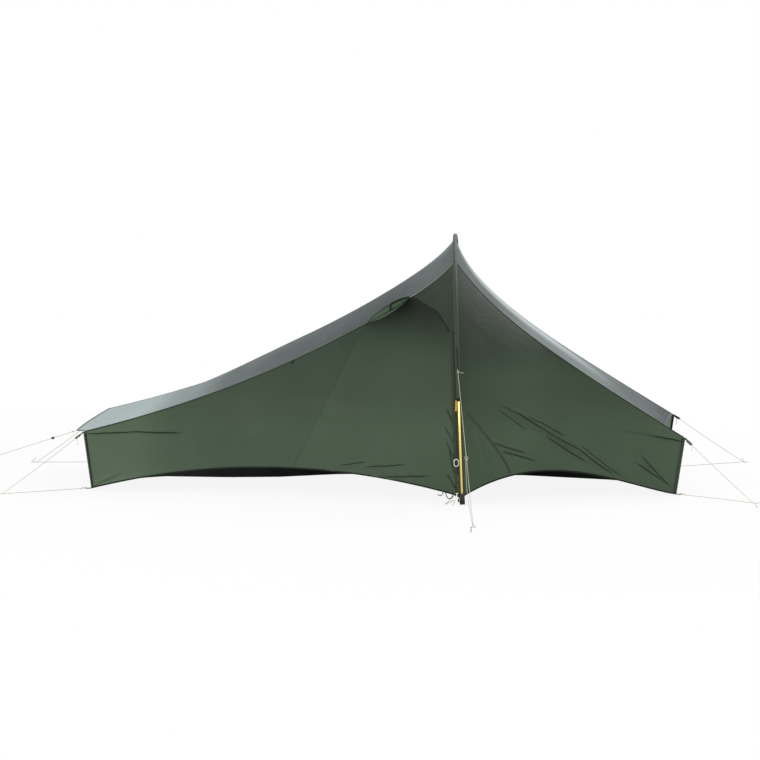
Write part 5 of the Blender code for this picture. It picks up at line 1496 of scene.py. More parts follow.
rim = vent_edge + VENT_OUT * rim_reach
rim_along = unit(np.gradient(rim, axis=0))
rim_clear = unit(VENT_OUT - rim_along * (rim_along @ VENT_OUT)[:, None])
stay_path = rim + rim_clear * STAY_OFF
stay = tube("vent_stay", stay_path, STAY_RADIUS, black_plastic, 16, up=(0, 0.6, 0.8))
belong(stay, "vent_cover", "black_plastic", "vent_hood_stiffener")
pocket = tube("vent_stay_pocket", stay_path[:POCKET_END], POCKET_RADIUS, seam_tape, 16,
              up=(0, 0.6, 0.8))
belong(pocket, "vent_cover", "roof_cloth")
rim_band = rim_reach * (1 - np.array([0.18, 0.12, 0.06, 0.0025]))
rim_tape = vent_edge[:, None] + VENT_OUT * rim_band[..., None]
hood_binds = [lay("vent_rim_tape", rim_tape[:POCKET_END], seam_tape, 0.0008, 0.0016,
                  "vent_cover"),
              lay("vent_rim_binding", rim_tape[POCKET_END - 1:], binding, 0.0008, 0.0030,
                  "vent_cover")]
print("hood's rim:", round(line_length(rim), 3), "m")

# %% Netting and prop
NET_BACK, PROP_AT = 0.0013, 0.55
net_u = np.linspace(VENT_FROM - 0.004, VENT_TO + 0.004, 60)
net_w = down_from(LONG_END, net_u, 0.0, np.linspace(0.001, 0.034, 9), True)
net_points = wall_spot(LONG_END, net_u[:, None], net_w, True)
vent_net = sew("vent_netting", [net_points + unit([0.0, 1.0, -0.3]) * NET_BACK], [netting],
               INSIDE_DOOR, 0.0003)
belong(vent_net, "tent", "vent_netting", "vent_mesh")
prop_u = blend_to(VENT_FROM, VENT_TO, PROP_AT)
prop_top = seam_line(LONG_END, prop_u) + VENT_OUT * float(vent_reach(PROP_AT)) * 0.93
prop_w = 0.006 / wall_drop(LONG_END, prop_u, True)
prop_foot = wall_spot(LONG_END, prop_u, prop_w, True) + VENT_OUT * 0.003
prop_bend = blend_to(prop_foot, prop_top, 0.5) + np.array([0.0015, -0.004, 0.002])
prop = tube("vent_prop", curve_through([prop_foot, prop_bend, prop_top], 20), STAY_RADIUS,
            black_plastic, 12)
belong(prop, "vent_cover", "black_plastic")
print("vent prop:", round(float(np.linalg.norm(prop_top - prop_foot)), 3), "m")

# %% [markdown]
# ## Pole, sleeve and feet
# The pole is six gold anodised tubes on a curve, joined by spigots over an elastic cord.
# Each tube starts as a circle spun round the arch's own centre with the spin tool and
# given a wall; one tube is modelled and the others are turned copies of it.

# %% Modelling helpers on Blender's own tools
SMOOTH_ANGLE = 0.6


def edit(obj, wanted=None):
    """Opens a mesh for editing, with all of it picked or only the wanted faces."""
    pick_only(obj)
    bpy.ops.object.mode_set(mode="EDIT")
    bpy.ops.mesh.select_mode(type="FACE" if wanted else "VERT")
    bpy.ops.mesh.select_all(action="DESELECT" if wanted else "SELECT")
    if wanted:
        bpy.ops.object.mode_set(mode="OBJECT")
        for face in obj.data.polygons:
            face.select = wanted(face)
        bpy.ops.object.mode_set(mode="EDIT")


def leave_edit(obj):
    bpy.ops.object.mode_set(mode="OBJECT")
    obj.select_set(False)


def extrude(x, y, z):
    bpy.ops.mesh.extrude_region_move(TRANSFORM_OT_translate={"value": (x, y, z)})


def outside_out():
    """Turns all faces of the mesh being edited outwards."""
    bpy.ops.mesh.select_all(action="SELECT")
    bpy.ops.mesh.normals_make_consistent(inside=False)


def settle(obj, name, look, matrix):
    """Moves a mesh to its place, names it and gives it a look if it has none."""
    obj.data.transform(matrix)
    obj.name = obj.data.name = name
    if not obj.data.materials:
        obj.data.materials.append(look)
    return obj


def copy_of(shape, name, look, matrix):
    return settle(add_object(name, shape.data.copy()), name, look, matrix)


def soften(obj, width, segments=2, angle=SMOOTH_ANGLE):
    """Rounds the edges sharper than the angle, and shades the rest smooth."""
    finish_with(obj, "BEVEL", width=width, segments=segments, limit_method="ANGLE",
                angle_limit=angle)
    pick_only(obj)
    bpy.ops.object.shade_smooth_by_angle(angle=SMOOTH_ANGLE)
    obj.select_set(False)


print("modelling helpers ready")

# %% One pole tube, spun round the arch's centre
ARCH_ORIGIN = on_arch(0.0, 0.0)
ARCH_TOP = unit(on_arch(0.0) - ARCH_ORIGIN)
ARCH_SIDE = np.array([0.0, -1.0, 0.0])
RING_SIDES = 28
SECTION_TURN, JOINT_GAP = 7 * STEP, 0.0004 / POLE_CIRCLE
SPIGOT_TURN = 0.066 / POLE_CIRCLE
TUBE_WALL = 0.0006
pole_frame = frame_of(ARCH_ORIGIN, ARCH_TOP, ARCH_SIDE, np.cross(ARCH_TOP, ARCH_SIDE))


def spun_ring(ring_radius, sweep, steps):
    """A tube on the pole's circle, from turn 0 to the sweep, with a wall."""
    made = primitive("circle", vertices=RING_SIDES, radius=ring_radius,
                     location=(POLE_CIRCLE, 0, 0), rotation=(math.pi / 2, 0, 0))
    edit(made)
    bpy.ops.mesh.spin(steps=steps, angle=sweep, center=(0, 0, 0), axis=(0, 0, 1))
    bpy.ops.mesh.select_all(action="SELECT")
    bpy.ops.mesh.remove_doubles(threshold=1e-6)
    outside_out()
    leave_edit(made)
    if sum(v.co.y for v in made.data.vertices) < 0:
        made.data.transform(Matrix.Scale(-1, 4, (0, 1, 0)))
        made.data.flip_normals()
    facing_in = sum((Vector((*f.center.xy, 0)).normalized() * POLE_CIRCLE
                     - f.center).dot(f.normal) for f in made.data.polygons)
    if facing_in > 0:
        made.data.flip_normals()
    finish_with(made, "SOLIDIFY", thickness=TUBE_WALL, offset=-1.0)
    return made


def on_pole(shape, name, look, turn):
    """A copy of a spun shape, turned along the pole."""
    return copy_of(shape, name, look, pole_frame @ Matrix.Rotation(turn, 4, "Z"))


tube_one = spun_ring(POLE_R, SECTION_TURN - 2 * JOINT_GAP, 56)
soften(tube_one, 0.00018, 2, 1.0)
spigot_one = spun_ring(POLE_R - 0.0010, SPIGOT_TURN, 12)
soften(spigot_one, 0.00012, 1, 1.0)
for k in range(-3, 3):
    number = k + 4
    section = on_pole(tube_one, f"pole_section_{number}", gold, k * SECTION_TURN + JOINT_GAP)
    if k < 2:
        spigot = on_pole(spigot_one, "spigot", bare_metal,
                         (k + 1) * SECTION_TURN - SPIGOT_TURN / 2)
        section = join([section, spigot], f"pole_section_{number}")
    belong(section, "tent", "gold_pole", f"arch_pole_section_{number}")
for shape in (tube_one, spigot_one):
    bpy.data.objects.remove(shape)
pole_path = on_arch(np.linspace(-STEPS * STEP, STEPS * STEP, 300), POLE_CIRCLE)
shock = tube("pole_shock_cord", pole_path, 0.0012, elastic, 10, up=(1, 0, 0))
belong(shock, "tent", "black_webbing", "arch_pole_shock_cord")
print("last section's lowest point:", round(min(v.co.z for v in section.data.vertices), 4))

# %% [markdown]
# The sleeve is a tunnel of fly cloth that the pole slides into. It ends well above the
# ground, with a bound mouth, so that the bare pole shows between sleeve and foot cup.

# %% Pole sleeve
MOUTH_HEIGHT = 0.398
SLEEVE_STOP = math.acos((MOUTH_HEIGHT / math.cos(ARCH_LEAN) - CENTRE) / POLE_CIRCLE)
SLEEVE_WALL, MOUTH_LONG = 0.0006, 0.014


def pipe(name, path, outer, wall, look, sides=24):
    """An open tube with a wall, as one closed surface."""
    ring, turn = rings_along(path, (1, 0, 0), sides)
    outside, inside = (path[:, None] + radius * ring for radius in (outer, outer - wall))
    uv = np.broadcast_arrays(run_of(path)[:, None], (turn - np.pi)[None] * outer)
    uv = np.stack(uv, axis=-1)
    rims = [np.stack([outside[k], inside[k]]) for k in (0, -1)]
    return sew(name, [(outside, 0, uv), (inside, 0, uv), *rims], [look],
               tuple(path.mean(axis=0)), 0.0, 0.00002)


sleeve_cloth = coated_cloth("sleeve_cloth", (0.022, 0.034, 0.020), (0.034, 0.049, 0.030),
                            0.55, 0.25, 0.05, 1.4)
sleeve_path = on_arch(np.linspace(-SLEEVE_STOP, SLEEVE_STOP, 260), SLEEVE_CIRCLE)
sleeve = pipe("pole_sleeve_cloth", sleeve_path, SLEEVE_R, SLEEVE_WALL, sleeve_cloth)
belong(sleeve, "tent", "fly_cloth", "pole_sleeve")
mouth_turn = np.linspace(SLEEVE_STOP - MOUTH_LONG / POLE_CIRCLE, SLEEVE_STOP + 0.0006, 8)
for key, sign in SIDES.items():
    hem = pipe(f"sleeve_mouth_hem_{key}", on_arch(sign * mouth_turn, SLEEVE_CIRCLE),
               SLEEVE_R + 0.0007, SLEEVE_WALL, binding)
    belong(hem, "tent", "black_trim")
print("sleeve:", round(2 * SLEEVE_STOP * POLE_CIRCLE, 3), "m long")

# %% [markdown]
# Webbing bends round things with a small radius and keeps its width. A ribbon is laid
# out from the corner points of its path: each corner is rounded, and a flat section with
# softened edges is carried along.

# %% Ribbon along a path
RIBBON_STEP = 0.0012
RIBBON_OUTLINE = np.array([(-1, -0.5), (-0.94, -1), (0.94, -1), (1, -0.5), (1, 0.5),
                           (0.94, 1), (-0.94, 1), (-1, 0.5), (-1, -0.5)])


def ribbon(name, path, width_axis, width, thick, look, body="tent", slot="black_webbing",
           bend=0.004):
    """A flat woven strip along a path of corner points, its bends rounded."""
    points = [np.asarray(p, float) for p in path]
    line = [points[0]]
    for before, here, after in zip(points, points[1:], points[2:]):
        first, last = (here + unit(p - here) * min(bend, np.linalg.norm(p - here) * 0.45)
                       for p in (before, after))
        line += [first * (1 - f)**2 + here * 2 * f * (1 - f) + last * f**2
                 for f in np.linspace(0, 1, 7)]
    line = np.array([*line, points[-1]])
    line = even(line, max(24, int(line_length(line) / RIBBON_STEP)))
    along = unit(np.gradient(line, axis=0))
    wide = unit(np.broadcast_to(np.asarray(width_axis, float), line.shape))
    wide = unit(wide - along * (wide * along).sum(1)[:, None])
    across, up = (RIBBON_OUTLINE * (width / 2, thick / 2)).T[:, None, :, None]
    grid = line[:, None] + across * wide[:, None] + up * np.cross(along, wide)[:, None]
    uv = np.stack(np.broadcast_arrays(run_of(line)[:, None], across[..., 0]), axis=-1)
    made = sew(name, [(grid, 0, uv)], [look], tuple(line.mean(axis=0)), 0.0, 0.00002)
    mend(made, fill=True)
    return belong(made, body, slot)


print("ribbon ready")

# %% Tabs on the sleeve, from a beveled cube
TAB_SIZE = (0.014, 0.006, TAB_HIGH)
STRIP_TURN, STRIP_LONG = 13.4 * STEP, 0.086


def block(name, origin, axes, size, look, soft, segments=3):
    """A cube stretched to size along three axes, with its edges rounded."""
    made = primitive("cube", size=1)
    made.data.transform(Matrix.Diagonal((*size, 1)))
    made.select_set(False)
    soften(made, soft, segments)
    return settle(made, name, look, frame_of(origin, *axes))


strip_turn = np.linspace(STRIP_TURN - STRIP_LONG / POLE_CIRCLE, STRIP_TURN, 12)
for key, sign in SIDES.items():
    base, down, out = arch_tab(sign)
    tab = block(f"sleeve_guy_tab_{key}", base + out * (SLEEVE_FLAT + TAB_HIGH / 2),
                (down, np.cross(out, down), out), TAB_SIZE, black_web, 0.0006)
    belong(tab, "tent", "black_webbing")
    strip_path = on_arch(sign * strip_turn, SLEEVE_CIRCLE + SLEEVE_R + 0.0005)
    ribbon(f"sleeve_tab_strip_{key}", strip_path, ARCH_UP, 0.006, 0.0011, black_web)
print("tabs and strips:", 2 * len(SIDES))

# %% [markdown]
# Each foot cup starts as a cylinder. Its top is inset and pushed down to make the bore
# that the pole stands in, and its edges are rounded. A collar goes round its mouth.

# %% Foot cups
CUP_R, CUP_HIGH, CUP_FLOOR, CUP_BORE = 0.0102, 0.036, 0.0053, 0.0049
COLLAR_FROM, COLLAR_TO = 0.0352, 0.0312


def pole_foot(sign):
    """The pole's tip, the way down it and the way out of the tent there."""
    return arch_ways(STEPS - 1, STEPS, POLE_CIRCLE, sign)[1:]


cup = primitive("cylinder", vertices=40, radius=CUP_R, depth=CUP_HIGH + CUP_FLOOR,
                location=(0, 0, (CUP_HIGH - CUP_FLOOR) / 2))
edit(cup, lambda face: face.normal.z > 0.9)
bpy.ops.mesh.inset(thickness=CUP_R - CUP_BORE)
extrude(0, 0, 0.0003 - CUP_HIGH)
leave_edit(cup)
soften(cup, 0.0011, 3, 0.7)
for key, sign in SIDES.items():
    tip, down, out = pole_foot(sign)
    placed_cup = copy_of(cup, f"foot_cup_{key}", black_plastic,
                         frame_of(tip, np.cross(out, -down), out, -down))
    belong(placed_cup, "tent", "black_plastic", f"pole_foot_{key}")
    collar = pipe(f"foot_cup_collar_{key}",
                  np.array([tip - down * COLLAR_FROM, tip - down * COLLAR_TO]),
                  CUP_R + 0.0009, 0.0012, black_plastic, 40)
    belong(collar, "tent", "black_plastic")
bpy.data.objects.remove(cup)
print("foot cups:", len(SIDES))

# %% [markdown]
# ## Corner fittings
# Webbing runs down each corner, out of its foot to the line's end and out of its head to
# a ladder buckle. It is woven strip, so it is laid out as a ribbon along a path, with
# rounded bends and the ribs and edge stitches of real webbing.

# %% Corner webbings
WEB_WIDE, TACK_HALF = 0.015, 0.0062
COVER_INSET, COVER_WIDE, COVER_THICK = 0.007, 0.0166, 0.0034
for name, c in corner.items():
    wide = unit(np.cross(c["out"], UP))
    web = ribbon(f"corner_webbing_{name}", c["webbing"], wide, WEB_WIDE, WEB_THICK,
                 black_web)
    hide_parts(f"corner_webbing_{name}")
    high, low = c["webbing"][1:3]
    ribbon(f"corner_cover_{name}", [high - UP * COVER_INSET, low + UP * COVER_INSET], wide,
           COVER_WIDE, COVER_THICK, wall_tape, slot="fly_cloth")
    for part, rise, look in (("head", -UP, piping), ("foot", UP, binding)):
        middle = c[part] + c["out"] * 0.0019 + rise * 0.008
        ribbon(f"bar_tack_{part}_{name}", [middle - wide * TACK_HALF,
                                           middle + wide * TACK_HALF],
               UP, 0.0026, 0.0006, look)
print("webbings, covers and bar tacks:", 4 * len(corner))

# %% [markdown]
# The ladder buckle starts as a grid of five by three cells. Its lines are moved to the
# bar positions, two cells are deleted for the slots, the sheet is given its thickness,
# and the edges are rounded. The other three buckles are copies.

# %% Ladder buckles
BUCKLE_XS = [0, 0.003, 0.008, 0.0115, 0.0165, LOCK_LONG]
BUCKLE_YS = [-0.008, -0.005, 0.005, 0.008]
PLAIN_AXES = np.eye(3)


def slotted(name, xs, ys, holes, thick, soft, look):
    """A flat plate with rectangular slots, its edges rounded, centred in z."""
    cells = len(xs) - 1, len(ys) - 1
    made = primitive("grid", x_subdivisions=cells[0], y_subdivisions=cells[1], size=1)
    for vertex in made.data.vertices:
        i, j = (round((vertex.co[k] + 0.5) * cells[k]) for k in (0, 1))
        vertex.co = (xs[i], ys[j], -thick / 2)
    edit(made, lambda face: any(xs[i] < face.center.x < xs[i + 1]
                                and ys[j] < face.center.y < ys[j + 1] for i, j in holes))
    bpy.ops.mesh.delete(type="FACE")
    outside_out()
    extrude(0, 0, thick)
    outside_out()
    leave_edit(made)
    soften(made, soft, 3)
    made.data.materials.append(look)
    made.name = name
    return made


buckle = slotted("buckle_shape", BUCKLE_XS, BUCKLE_YS, {(1, 1), (3, 1)}, 0.005, 0.0009,
                 black_plastic)
rib_one = block("buckle_rib", (0.0098, 0, 0.0026), PLAIN_AXES, (0.0022, 0.0098, 0.0012),
                black_plastic, 0.0004, 2)
lip = block("buckle_lip", (0.0212, 0, 0.0020), PLAIN_AXES, (0.0030, 0.0120, 0.0030),
            black_plastic, 0.0007, 2)
buckle = join([buckle, rib_one, lip], "buckle_shape")
for name, c in corner.items():
    placed_buckle = copy_of(buckle, f"ladder_buckle_{name}", black_plastic,
                            frame_of(c["lock"], *c["axes"]))
    belong(placed_buckle, "tent", "black_plastic", f"corner_line_lock_{name}")
bpy.data.objects.remove(buckle)
print("ladder buckles:", len(corner))

# %% [markdown]
# The line is wrapped round the buckle's middle bar, and its slack end hangs from it.
# Both are short cords through a few points, given sideways, up and along the buckle.

# %% Cord in the buckles
BAR_AT = 0.0098
BUCKLE_CORDS = {"wrap": ((0.0035, 0.0032, 0), (0.002, 0.0046, 0.006),
                         (0, 0.0036, 0.0118), (-0.001, -0.0005, 0.0128)),
                "tail": ((-0.004, 0.0040, 0), (-0.008, 0.003, 0.004),
                         (-0.010, -0.010, 0.008), (-0.008, -0.030, 0.006))}
for name, c in corner.items():
    ahead, level, _ = c["axes"]
    for kind, spots in BUCKLE_CORDS.items():
        tail(f"buckle_{kind}_{name}", [c["lock"] + ahead * (BAR_AT + on) + level * aside
                                       + UP * rise for aside, rise, on in spots])
print("cords in the buckles:", len(BUCKLE_CORDS) * len(corner))

# %% [markdown]
# A carbon rod stands in each corner and keeps it upright. It is a cylinder with rounded
# ends, and a plastic tip is pushed over it at the top and at the bottom.

# %% Corner struts
STRUT_IN = 0.003
STRUT_PARTS = ((CORNER_BOTTOM + 0.004, CORNER_TOP - 0.006, 0.002, carbon),
               (CORNER_BOTTOM + 0.0038, CORNER_BOTTOM + 0.014, 0.0024, black_plastic),
               (CORNER_TOP - 0.016, CORNER_TOP - 0.0058, 0.0024, black_plastic))


def rod(name, start, stop, radius, look):
    """A cylinder between two points, its ends rounded."""
    long = float(np.linalg.norm(stop - start))
    made = primitive("cylinder", vertices=28, radius=radius, depth=long,
                     location=(0, 0, long / 2))
    made.select_set(False)
    soften(made, 0.0004, 2, 1.0)
    ahead = unit(stop - start)
    side = unit(np.cross(ahead, (0.3, 0.9, 0.2)))
    return settle(made, name, look, frame_of(start, side, np.cross(ahead, side), ahead))


for name, c in corner.items():
    sign, side = CORNERS[name]
    inwards = np.array([-sign, -side, 0.0]) * STRUT_IN
    parts = []
    for low, high, radius, look in STRUT_PARTS:
        spots = [blend_to(c["foot"], c["head"],
                          (z - CORNER_BOTTOM) / (CORNER_TOP - CORNER_BOTTOM)) + inwards
                 for z in (low, high)]
        parts.append(rod("strut_part", *spots, radius, look))
    strut = join(parts, f"corner_strut_{name}")
    belong(strut, "tent", "carbon_rod", f"corner_strut_{name}")
print("struts:", len(corner))

# %% [markdown]
# The pegs are bent from wire. A circle is spun through half a turn to make the hook and
# then extruded for the shaft, whose last edge is scaled in to a point. One peg is made
# and copied to every line's end.

# %% Pegs
PEG_STEPS, PEG_POINT = (0.05, 0.088), 0.012
peg = primitive("circle", vertices=20, radius=PEG_WIRE / 2, fill_type="NGON",
                location=(HOOK_RADIUS, 0, 0), rotation=(math.pi / 2, 0, 0))
edit(peg)
bpy.ops.mesh.spin(steps=28, angle=math.pi, center=(0, 0, 0), axis=(0, 0, 1))
bpy.ops.object.mode_set(mode="OBJECT")
if sum(v.co.y for v in peg.data.vertices) > 0:
    peg.data.transform(Matrix.Scale(-1, 4, (0, 1, 0)))
for vertex in peg.data.vertices:
    vertex.select = vertex.co.x < 0 and abs(vertex.co.y) < 1e-5
for part in (*peg.data.edges, *peg.data.polygons):
    part.select = all(peg.data.vertices[k].select for k in part.vertices)
bpy.ops.object.mode_set(mode="EDIT")
for step in (*PEG_STEPS, PEG_POINT):
    extrude(0, step, 0)
bpy.ops.transform.resize(value=(0.25, 1.0, 0.25), center_override=(-HOOK_RADIUS, 0.15, 0))
bpy.ops.mesh.select_all(action="SELECT")
bpy.ops.mesh.remove_doubles(threshold=1e-6)
outside_out()
leave_edit(peg)
soften(peg, 0.0006, 2, 1.2)
for name, spot in PEGS.items():
    front = name.endswith("front")
    placing = (Matrix.Translation((*spot, PEG_WIRE / 2))
               @ Matrix.Diagonal((1, -1 if front else 1, 1, 1)))
    placed_peg = copy_of(peg, f"ground_peg_{name}", bare_metal, placing)
    if front:
        placed_peg.data.flip_normals()
    belong(placed_peg, "tent", "peg_metal", f"peg_{name}")
reach_y = [v.co.y for v in peg.data.vertices]
bpy.data.objects.remove(peg)
print("pegs:", len(PEGS), "of length", round(max(reach_y) - min(reach_y), 4))

# %% [markdown]
# ## Zip
# The two tapes follow the arch at one distance from it. Each carries a moulded coil,
# drawn as a toothed bead along its edge. The slider parks at the bottom, where the
# door is closed, with its pull hanging from the bridge.

# %% Zip tapes and coils
CORNER_TURN = SEAM_TURN + DOOR_TOP_TURN
ZIP_TOP_TURN = float(rim_turn[0]) - 0.15 * STEP
ZIP_PARK = HEM_TURN - 0.13 * STEP
TOOTH = 0.0016
ZIP_TAPES = {"fixed": (0.0025, 0.01385, (-0.0012, 0.0005), HEM_TURN, -0.0009, "tent"),
             "moving": (0.01415, 0.0235, (0.0247, 0.0265), HEM_TURN - 0.26 * STEP, 0.0009,
                        "door")}
for name, (near_by, far_off, tucked, stop, aside, body) in ZIP_TAPES.items():
    turn = np.linspace(ZIP_TOP_TURN, stop, 120)
    reach = np.array(sorted([*np.linspace(near_by, far_off, 4), *tucked]))
    under = (reach < near_by - 0.0001) | (reach > far_off + 0.0001)
    sunk = CLOTH_CIRCLE - np.where(under[None] | (turn[:, None] < CORNER_TURN), 0.0010, 0.0)
    tape = sew(f"zip_tape_{name}", [on_arch(turn[:, None], sunk, -reach[None])], [zip_tape],
               tuple(ARCH_ORIGIN), 0.0008)
    belong(tape, body, "black_trim", f"door_zip_{name}_tape")
    teeth = int((stop - CORNER_TURN) * CLOTH_CIRCLE / TOOTH)
    tooth_turn = np.linspace(CORNER_TURN, stop, teeth * 4)
    swell = np.tile([0.0005, 0.00082, 0.00082, 0.0005], teeth)
    coil = tube(f"zip_coil_{name}",
                on_arch(tooth_turn, CLOTH_CIRCLE + 0.0004, -ZIP_BACK - aside), swell,
                coil_plastic, 8, up=(1, 0, 0))
    belong(coil, body, "black_trim")
print("zip from", round(ZIP_TOP_TURN / STEP, 2), "steps down, last teeth:", teeth)

# %% [markdown]
# The slider is built of small rounded blocks: a plate over and one under the coils, a
# web between them, and two legs with a bar that holds the pull.

# %% Zip slider and pull
SLIDE_PLATE, SLIDE_WIDE, SLIDE_LONG = 0.0012, 0.009, 0.012
PULL_LONG, PULL_RIM = 0.026, 0.0014
zip_centre = on_arch(ZIP_PARK, CLOTH_CIRCLE, -ZIP_BACK)
zip_down = unit(on_arch(ZIP_PARK + 0.01) - on_arch(ZIP_PARK - 0.01))
zip_out = unit(np.cross(ARCH_UP, zip_down))
zip_out = zip_out if zip_out[1] < 0 else -zip_out
slide_axes = (zip_down, ARCH_UP, np.cross(zip_down, ARCH_UP))
sink = 0.0008 + CLOTH_CIRCLE * (1 - math.cos(STEP / 2)) + TOUCH
top_plate = TOUCH + SLIDE_PLATE
plate, leg = (SLIDE_LONG, SLIDE_WIDE, SLIDE_PLATE), (0.0014, 0.0022, 0.0032)
SLIDER_PARTS = ((TOUCH + SLIDE_PLATE / 2, 0.0, plate, 0.0005, 3),
                (-sink - SLIDE_PLATE / 2, 0.0, plate, 0.0005, 3),
                ((TOUCH - sink) / 2, 0.0,
                 (SLIDE_LONG * 0.9, 0.0005, sink + TOUCH + 0.0006), 0.0001, 1),
                (top_plate + 0.0012, -0.0045, leg, 0.0003, 2),
                (top_plate + 0.0012, 0.0045, leg, 0.0003, 2),
                (top_plate + 0.0029, 0.0, (0.0104, 0.0022, 0.001), 0.0004, 2))
slider = join([block("slider_part", zip_centre + zip_out * height + zip_down * on,
                     slide_axes, size, slider_metal, soft, segments)
               for height, on, size, soft, segments in SLIDER_PARTS], "zip_slider")
belong(slider, "zip_slider", "peg_metal", "door_zip_slider")

hang = unit(ARCH_UP * ARCH_UP[2] - UP)
inner_half = 0.0011 + TOUCH
pull = slotted("zip_pull", [-0.0007, 0.0007, PULL_LONG - 2 * PULL_RIM, PULL_LONG],
               [-inner_half - PULL_RIM, -inner_half, inner_half, inner_half + PULL_RIM],
               {(1, 1)}, PULL_RIM, 0.0003, black_plastic)
grip = block("pull_grip", (0.0185, 0, 0), PLAIN_AXES, (0.012, 0.0052, 0.0022),
             black_plastic, 0.0008)
pull = settle(join([pull, grip], "zip_pull"), "zip_pull", black_plastic,
              frame_of(zip_centre + zip_out * (top_plate + 0.0012), hang, ARCH_UP,
                       np.cross(hang, ARCH_UP)))
belong(pull, "zip_pull", "black_plastic", "door_zip_pull")
print("slider and pull at", np.round(zip_centre, 3))

# %% [markdown]
# The long end's line is tightened with a small square adjuster that slides along it. It
# is a thick plate with one hole for the cord.

# %% Adjuster on the long end's line
ADJUSTER_MARKS = [-0.0045, -0.0013, 0.0013, 0.0045]
slide_at = end_start + end_axes[0] * 0.1
adjuster = slotted("line_adjuster", ADJUSTER_MARKS, ADJUSTER_MARKS, {(1, 1)}, 0.012, 0.0011,
                   black_plastic)
settle(adjuster, "line_adjuster", black_plastic,
       frame_of(slide_at, *end_axes[1:], np.cross(*end_axes[1:])))
belong(adjuster, "end_line_slider", "black_plastic", "guy_slider_end")
print("adjuster at", np.round(slide_at, 3))

# %% [markdown]
# ## Small things near the arch
# At the foot of the arch a strap runs under each cup, a ring is sewn beside the zip, and
# elastic loops and the end of a cord lie at the hem. Higher up are the amber tag at the
# sleeve's mouth and the loop that ties the open door back.

# %% Foot straps and tag
STRAP_SIDE, STRAP_BASE, STRAP_TOP = 0.0111, 0.0062, -0.0100
STRAP_PATH = ((-STRAP_SIDE, STRAP_TOP), (-STRAP_SIDE, STRAP_BASE),
              (STRAP_SIDE, STRAP_BASE), (STRAP_SIDE, STRAP_TOP))
for key, sign in SIDES.items():
    tip, down, out = pole_foot(sign)
    strap = ribbon(f"foot_strap_{key}", [tip + out * a + down * b for a, b in STRAP_PATH],
                   ARCH_UP, 0.02, 0.0012, black_web, bend=0.0022)
    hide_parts(f"pole_foot_webbing_{key}")
tag_path = [on_arch(SLEEVE_STOP + past, POLE_CIRCLE + off, aside) for past, off, aside in (
    (-0.006, 0.001, -0.0090), (0.018, 0.004, -0.0096), (0.046, 0.003, -0.0118))]
ribbon("sleeve_tag", tag_path, ARCH_UP, 0.007, 0.0011, amber, bend=0.008)
print("tag:", round(line_length(np.array(tag_path)), 3), "m long")

# %% [markdown]
# The ring beside the zip is a torus pulled apart into a rounded oblong. The tie loop
# is a short strap from the roof seam.

# %% Ring and tie loop
RING_HEIGHT, RING_PULL = 0.166, 0.0050
ring_turn = math.acos((RING_HEIGHT / math.cos(ARCH_LEAN) - CENTRE) / POLE_CIRCLE)
ring_at = on_arch(ring_turn, POLE_CIRCLE - 0.004, -0.0172)
ring_down = unit(on_arch(ring_turn + 0.01) - on_arch(ring_turn - 0.01))
ring = primitive("torus", major_segments=48, minor_segments=12, major_radius=0.0085,
                 minor_radius=0.0017)
for vertex in ring.data.vertices:
    pull_share = min(1.0, abs(vertex.co.x) / 0.004)
    vertex.co.x += math.copysign(RING_PULL, vertex.co.x) * pull_share
ring.select_set(False)
ring.data.shade_smooth()
settle(ring, "door_ring", grey_plastic,
       frame_of(ring_at, ring_down, ARCH_UP, np.cross(ring_down, ARCH_UP)))
belong(ring, "door", "black_plastic")
ribbon("door_ring_tab", [ring_at - ARCH_UP * 0.0065 + ring_down * 0.002,
                         ring_at - ARCH_UP * 0.0150 + ring_down * 0.001],
       ring_down, 0.009, 0.0011, black_web, "door")
tie_u = 0.565 + np.array([-0.0028, -0.001, 0.001, 0.0028])
tie_w = np.linspace(0.0004, 0.019, 10)[:, None] / wall_drop(LONG_END, tie_u, True)[None]
lay("tie_back_loop", wall_spot(LONG_END, tie_u[None], tie_w, True), black_web,
    0.0028, 0.0012, slot="black_webbing")
print("ring at", np.round(ring_at, 3))

# %% [markdown]
# Two elastic loops and the end of a cord hang at the door's hem beside the pole's foot.
# Each is a loose cord along a curve through a few points.

# %% Elastic loops and cord end at the hem
HEM_BITS = {
    "elastic_loop_long": (black_web, 0.0034, [
        (0.2790, -0.772, 0.0400), (0.2740, -0.784, 0.0300), (0.2660, -0.790, 0.0255),
        (0.2580, -0.788, 0.0290), (0.2525, -0.778, 0.0370), (0.2500, -0.766, 0.0440)]),
    "elastic_loop_short": (black_web, 0.0030, [
        (0.2400, -0.760, 0.0460), (0.2370, -0.770, 0.0390), (0.2310, -0.774, 0.0350),
        (0.2250, -0.770, 0.0350), (0.2210, -0.764, 0.0390)]),
    "hem_cord_end": (guy_look, 0.0026, [
        (0.2800, -0.776, 0.0330), (0.2700, -0.786, 0.0230), (0.2580, -0.791, 0.0120),
        (0.2500, -0.793, 0.0050), (0.2580, -0.799, 0.0080), (0.2720, -0.803, 0.0160),
        (0.2860, -0.805, 0.0220), (0.2840, -0.811, 0.0120), (0.2760, -0.813, 0.0040)])}
for name, (look, wide, spots) in HEM_BITS.items():
    path = curve_through(spots, 60)
    bit = tube(name, path, wide / 2, look, 8)
    belong(bit, "door", "guy_cord" if look is guy_look else "black_webbing")
print("bits at the hem:", len(HEM_BITS))

# %% [markdown]
# ## The inner tent
# The inner tent hangs inside: a waterproof tub for a floor, two walls of pale breathable
# cloth that meet in a ridge under the roof, and a drop-down door in the front wall. Its
# shape comes from the frame: the tub's corners hook to the corner struts, and the ridge
# hangs a hand's breadth under the roof and touches it at the arch.

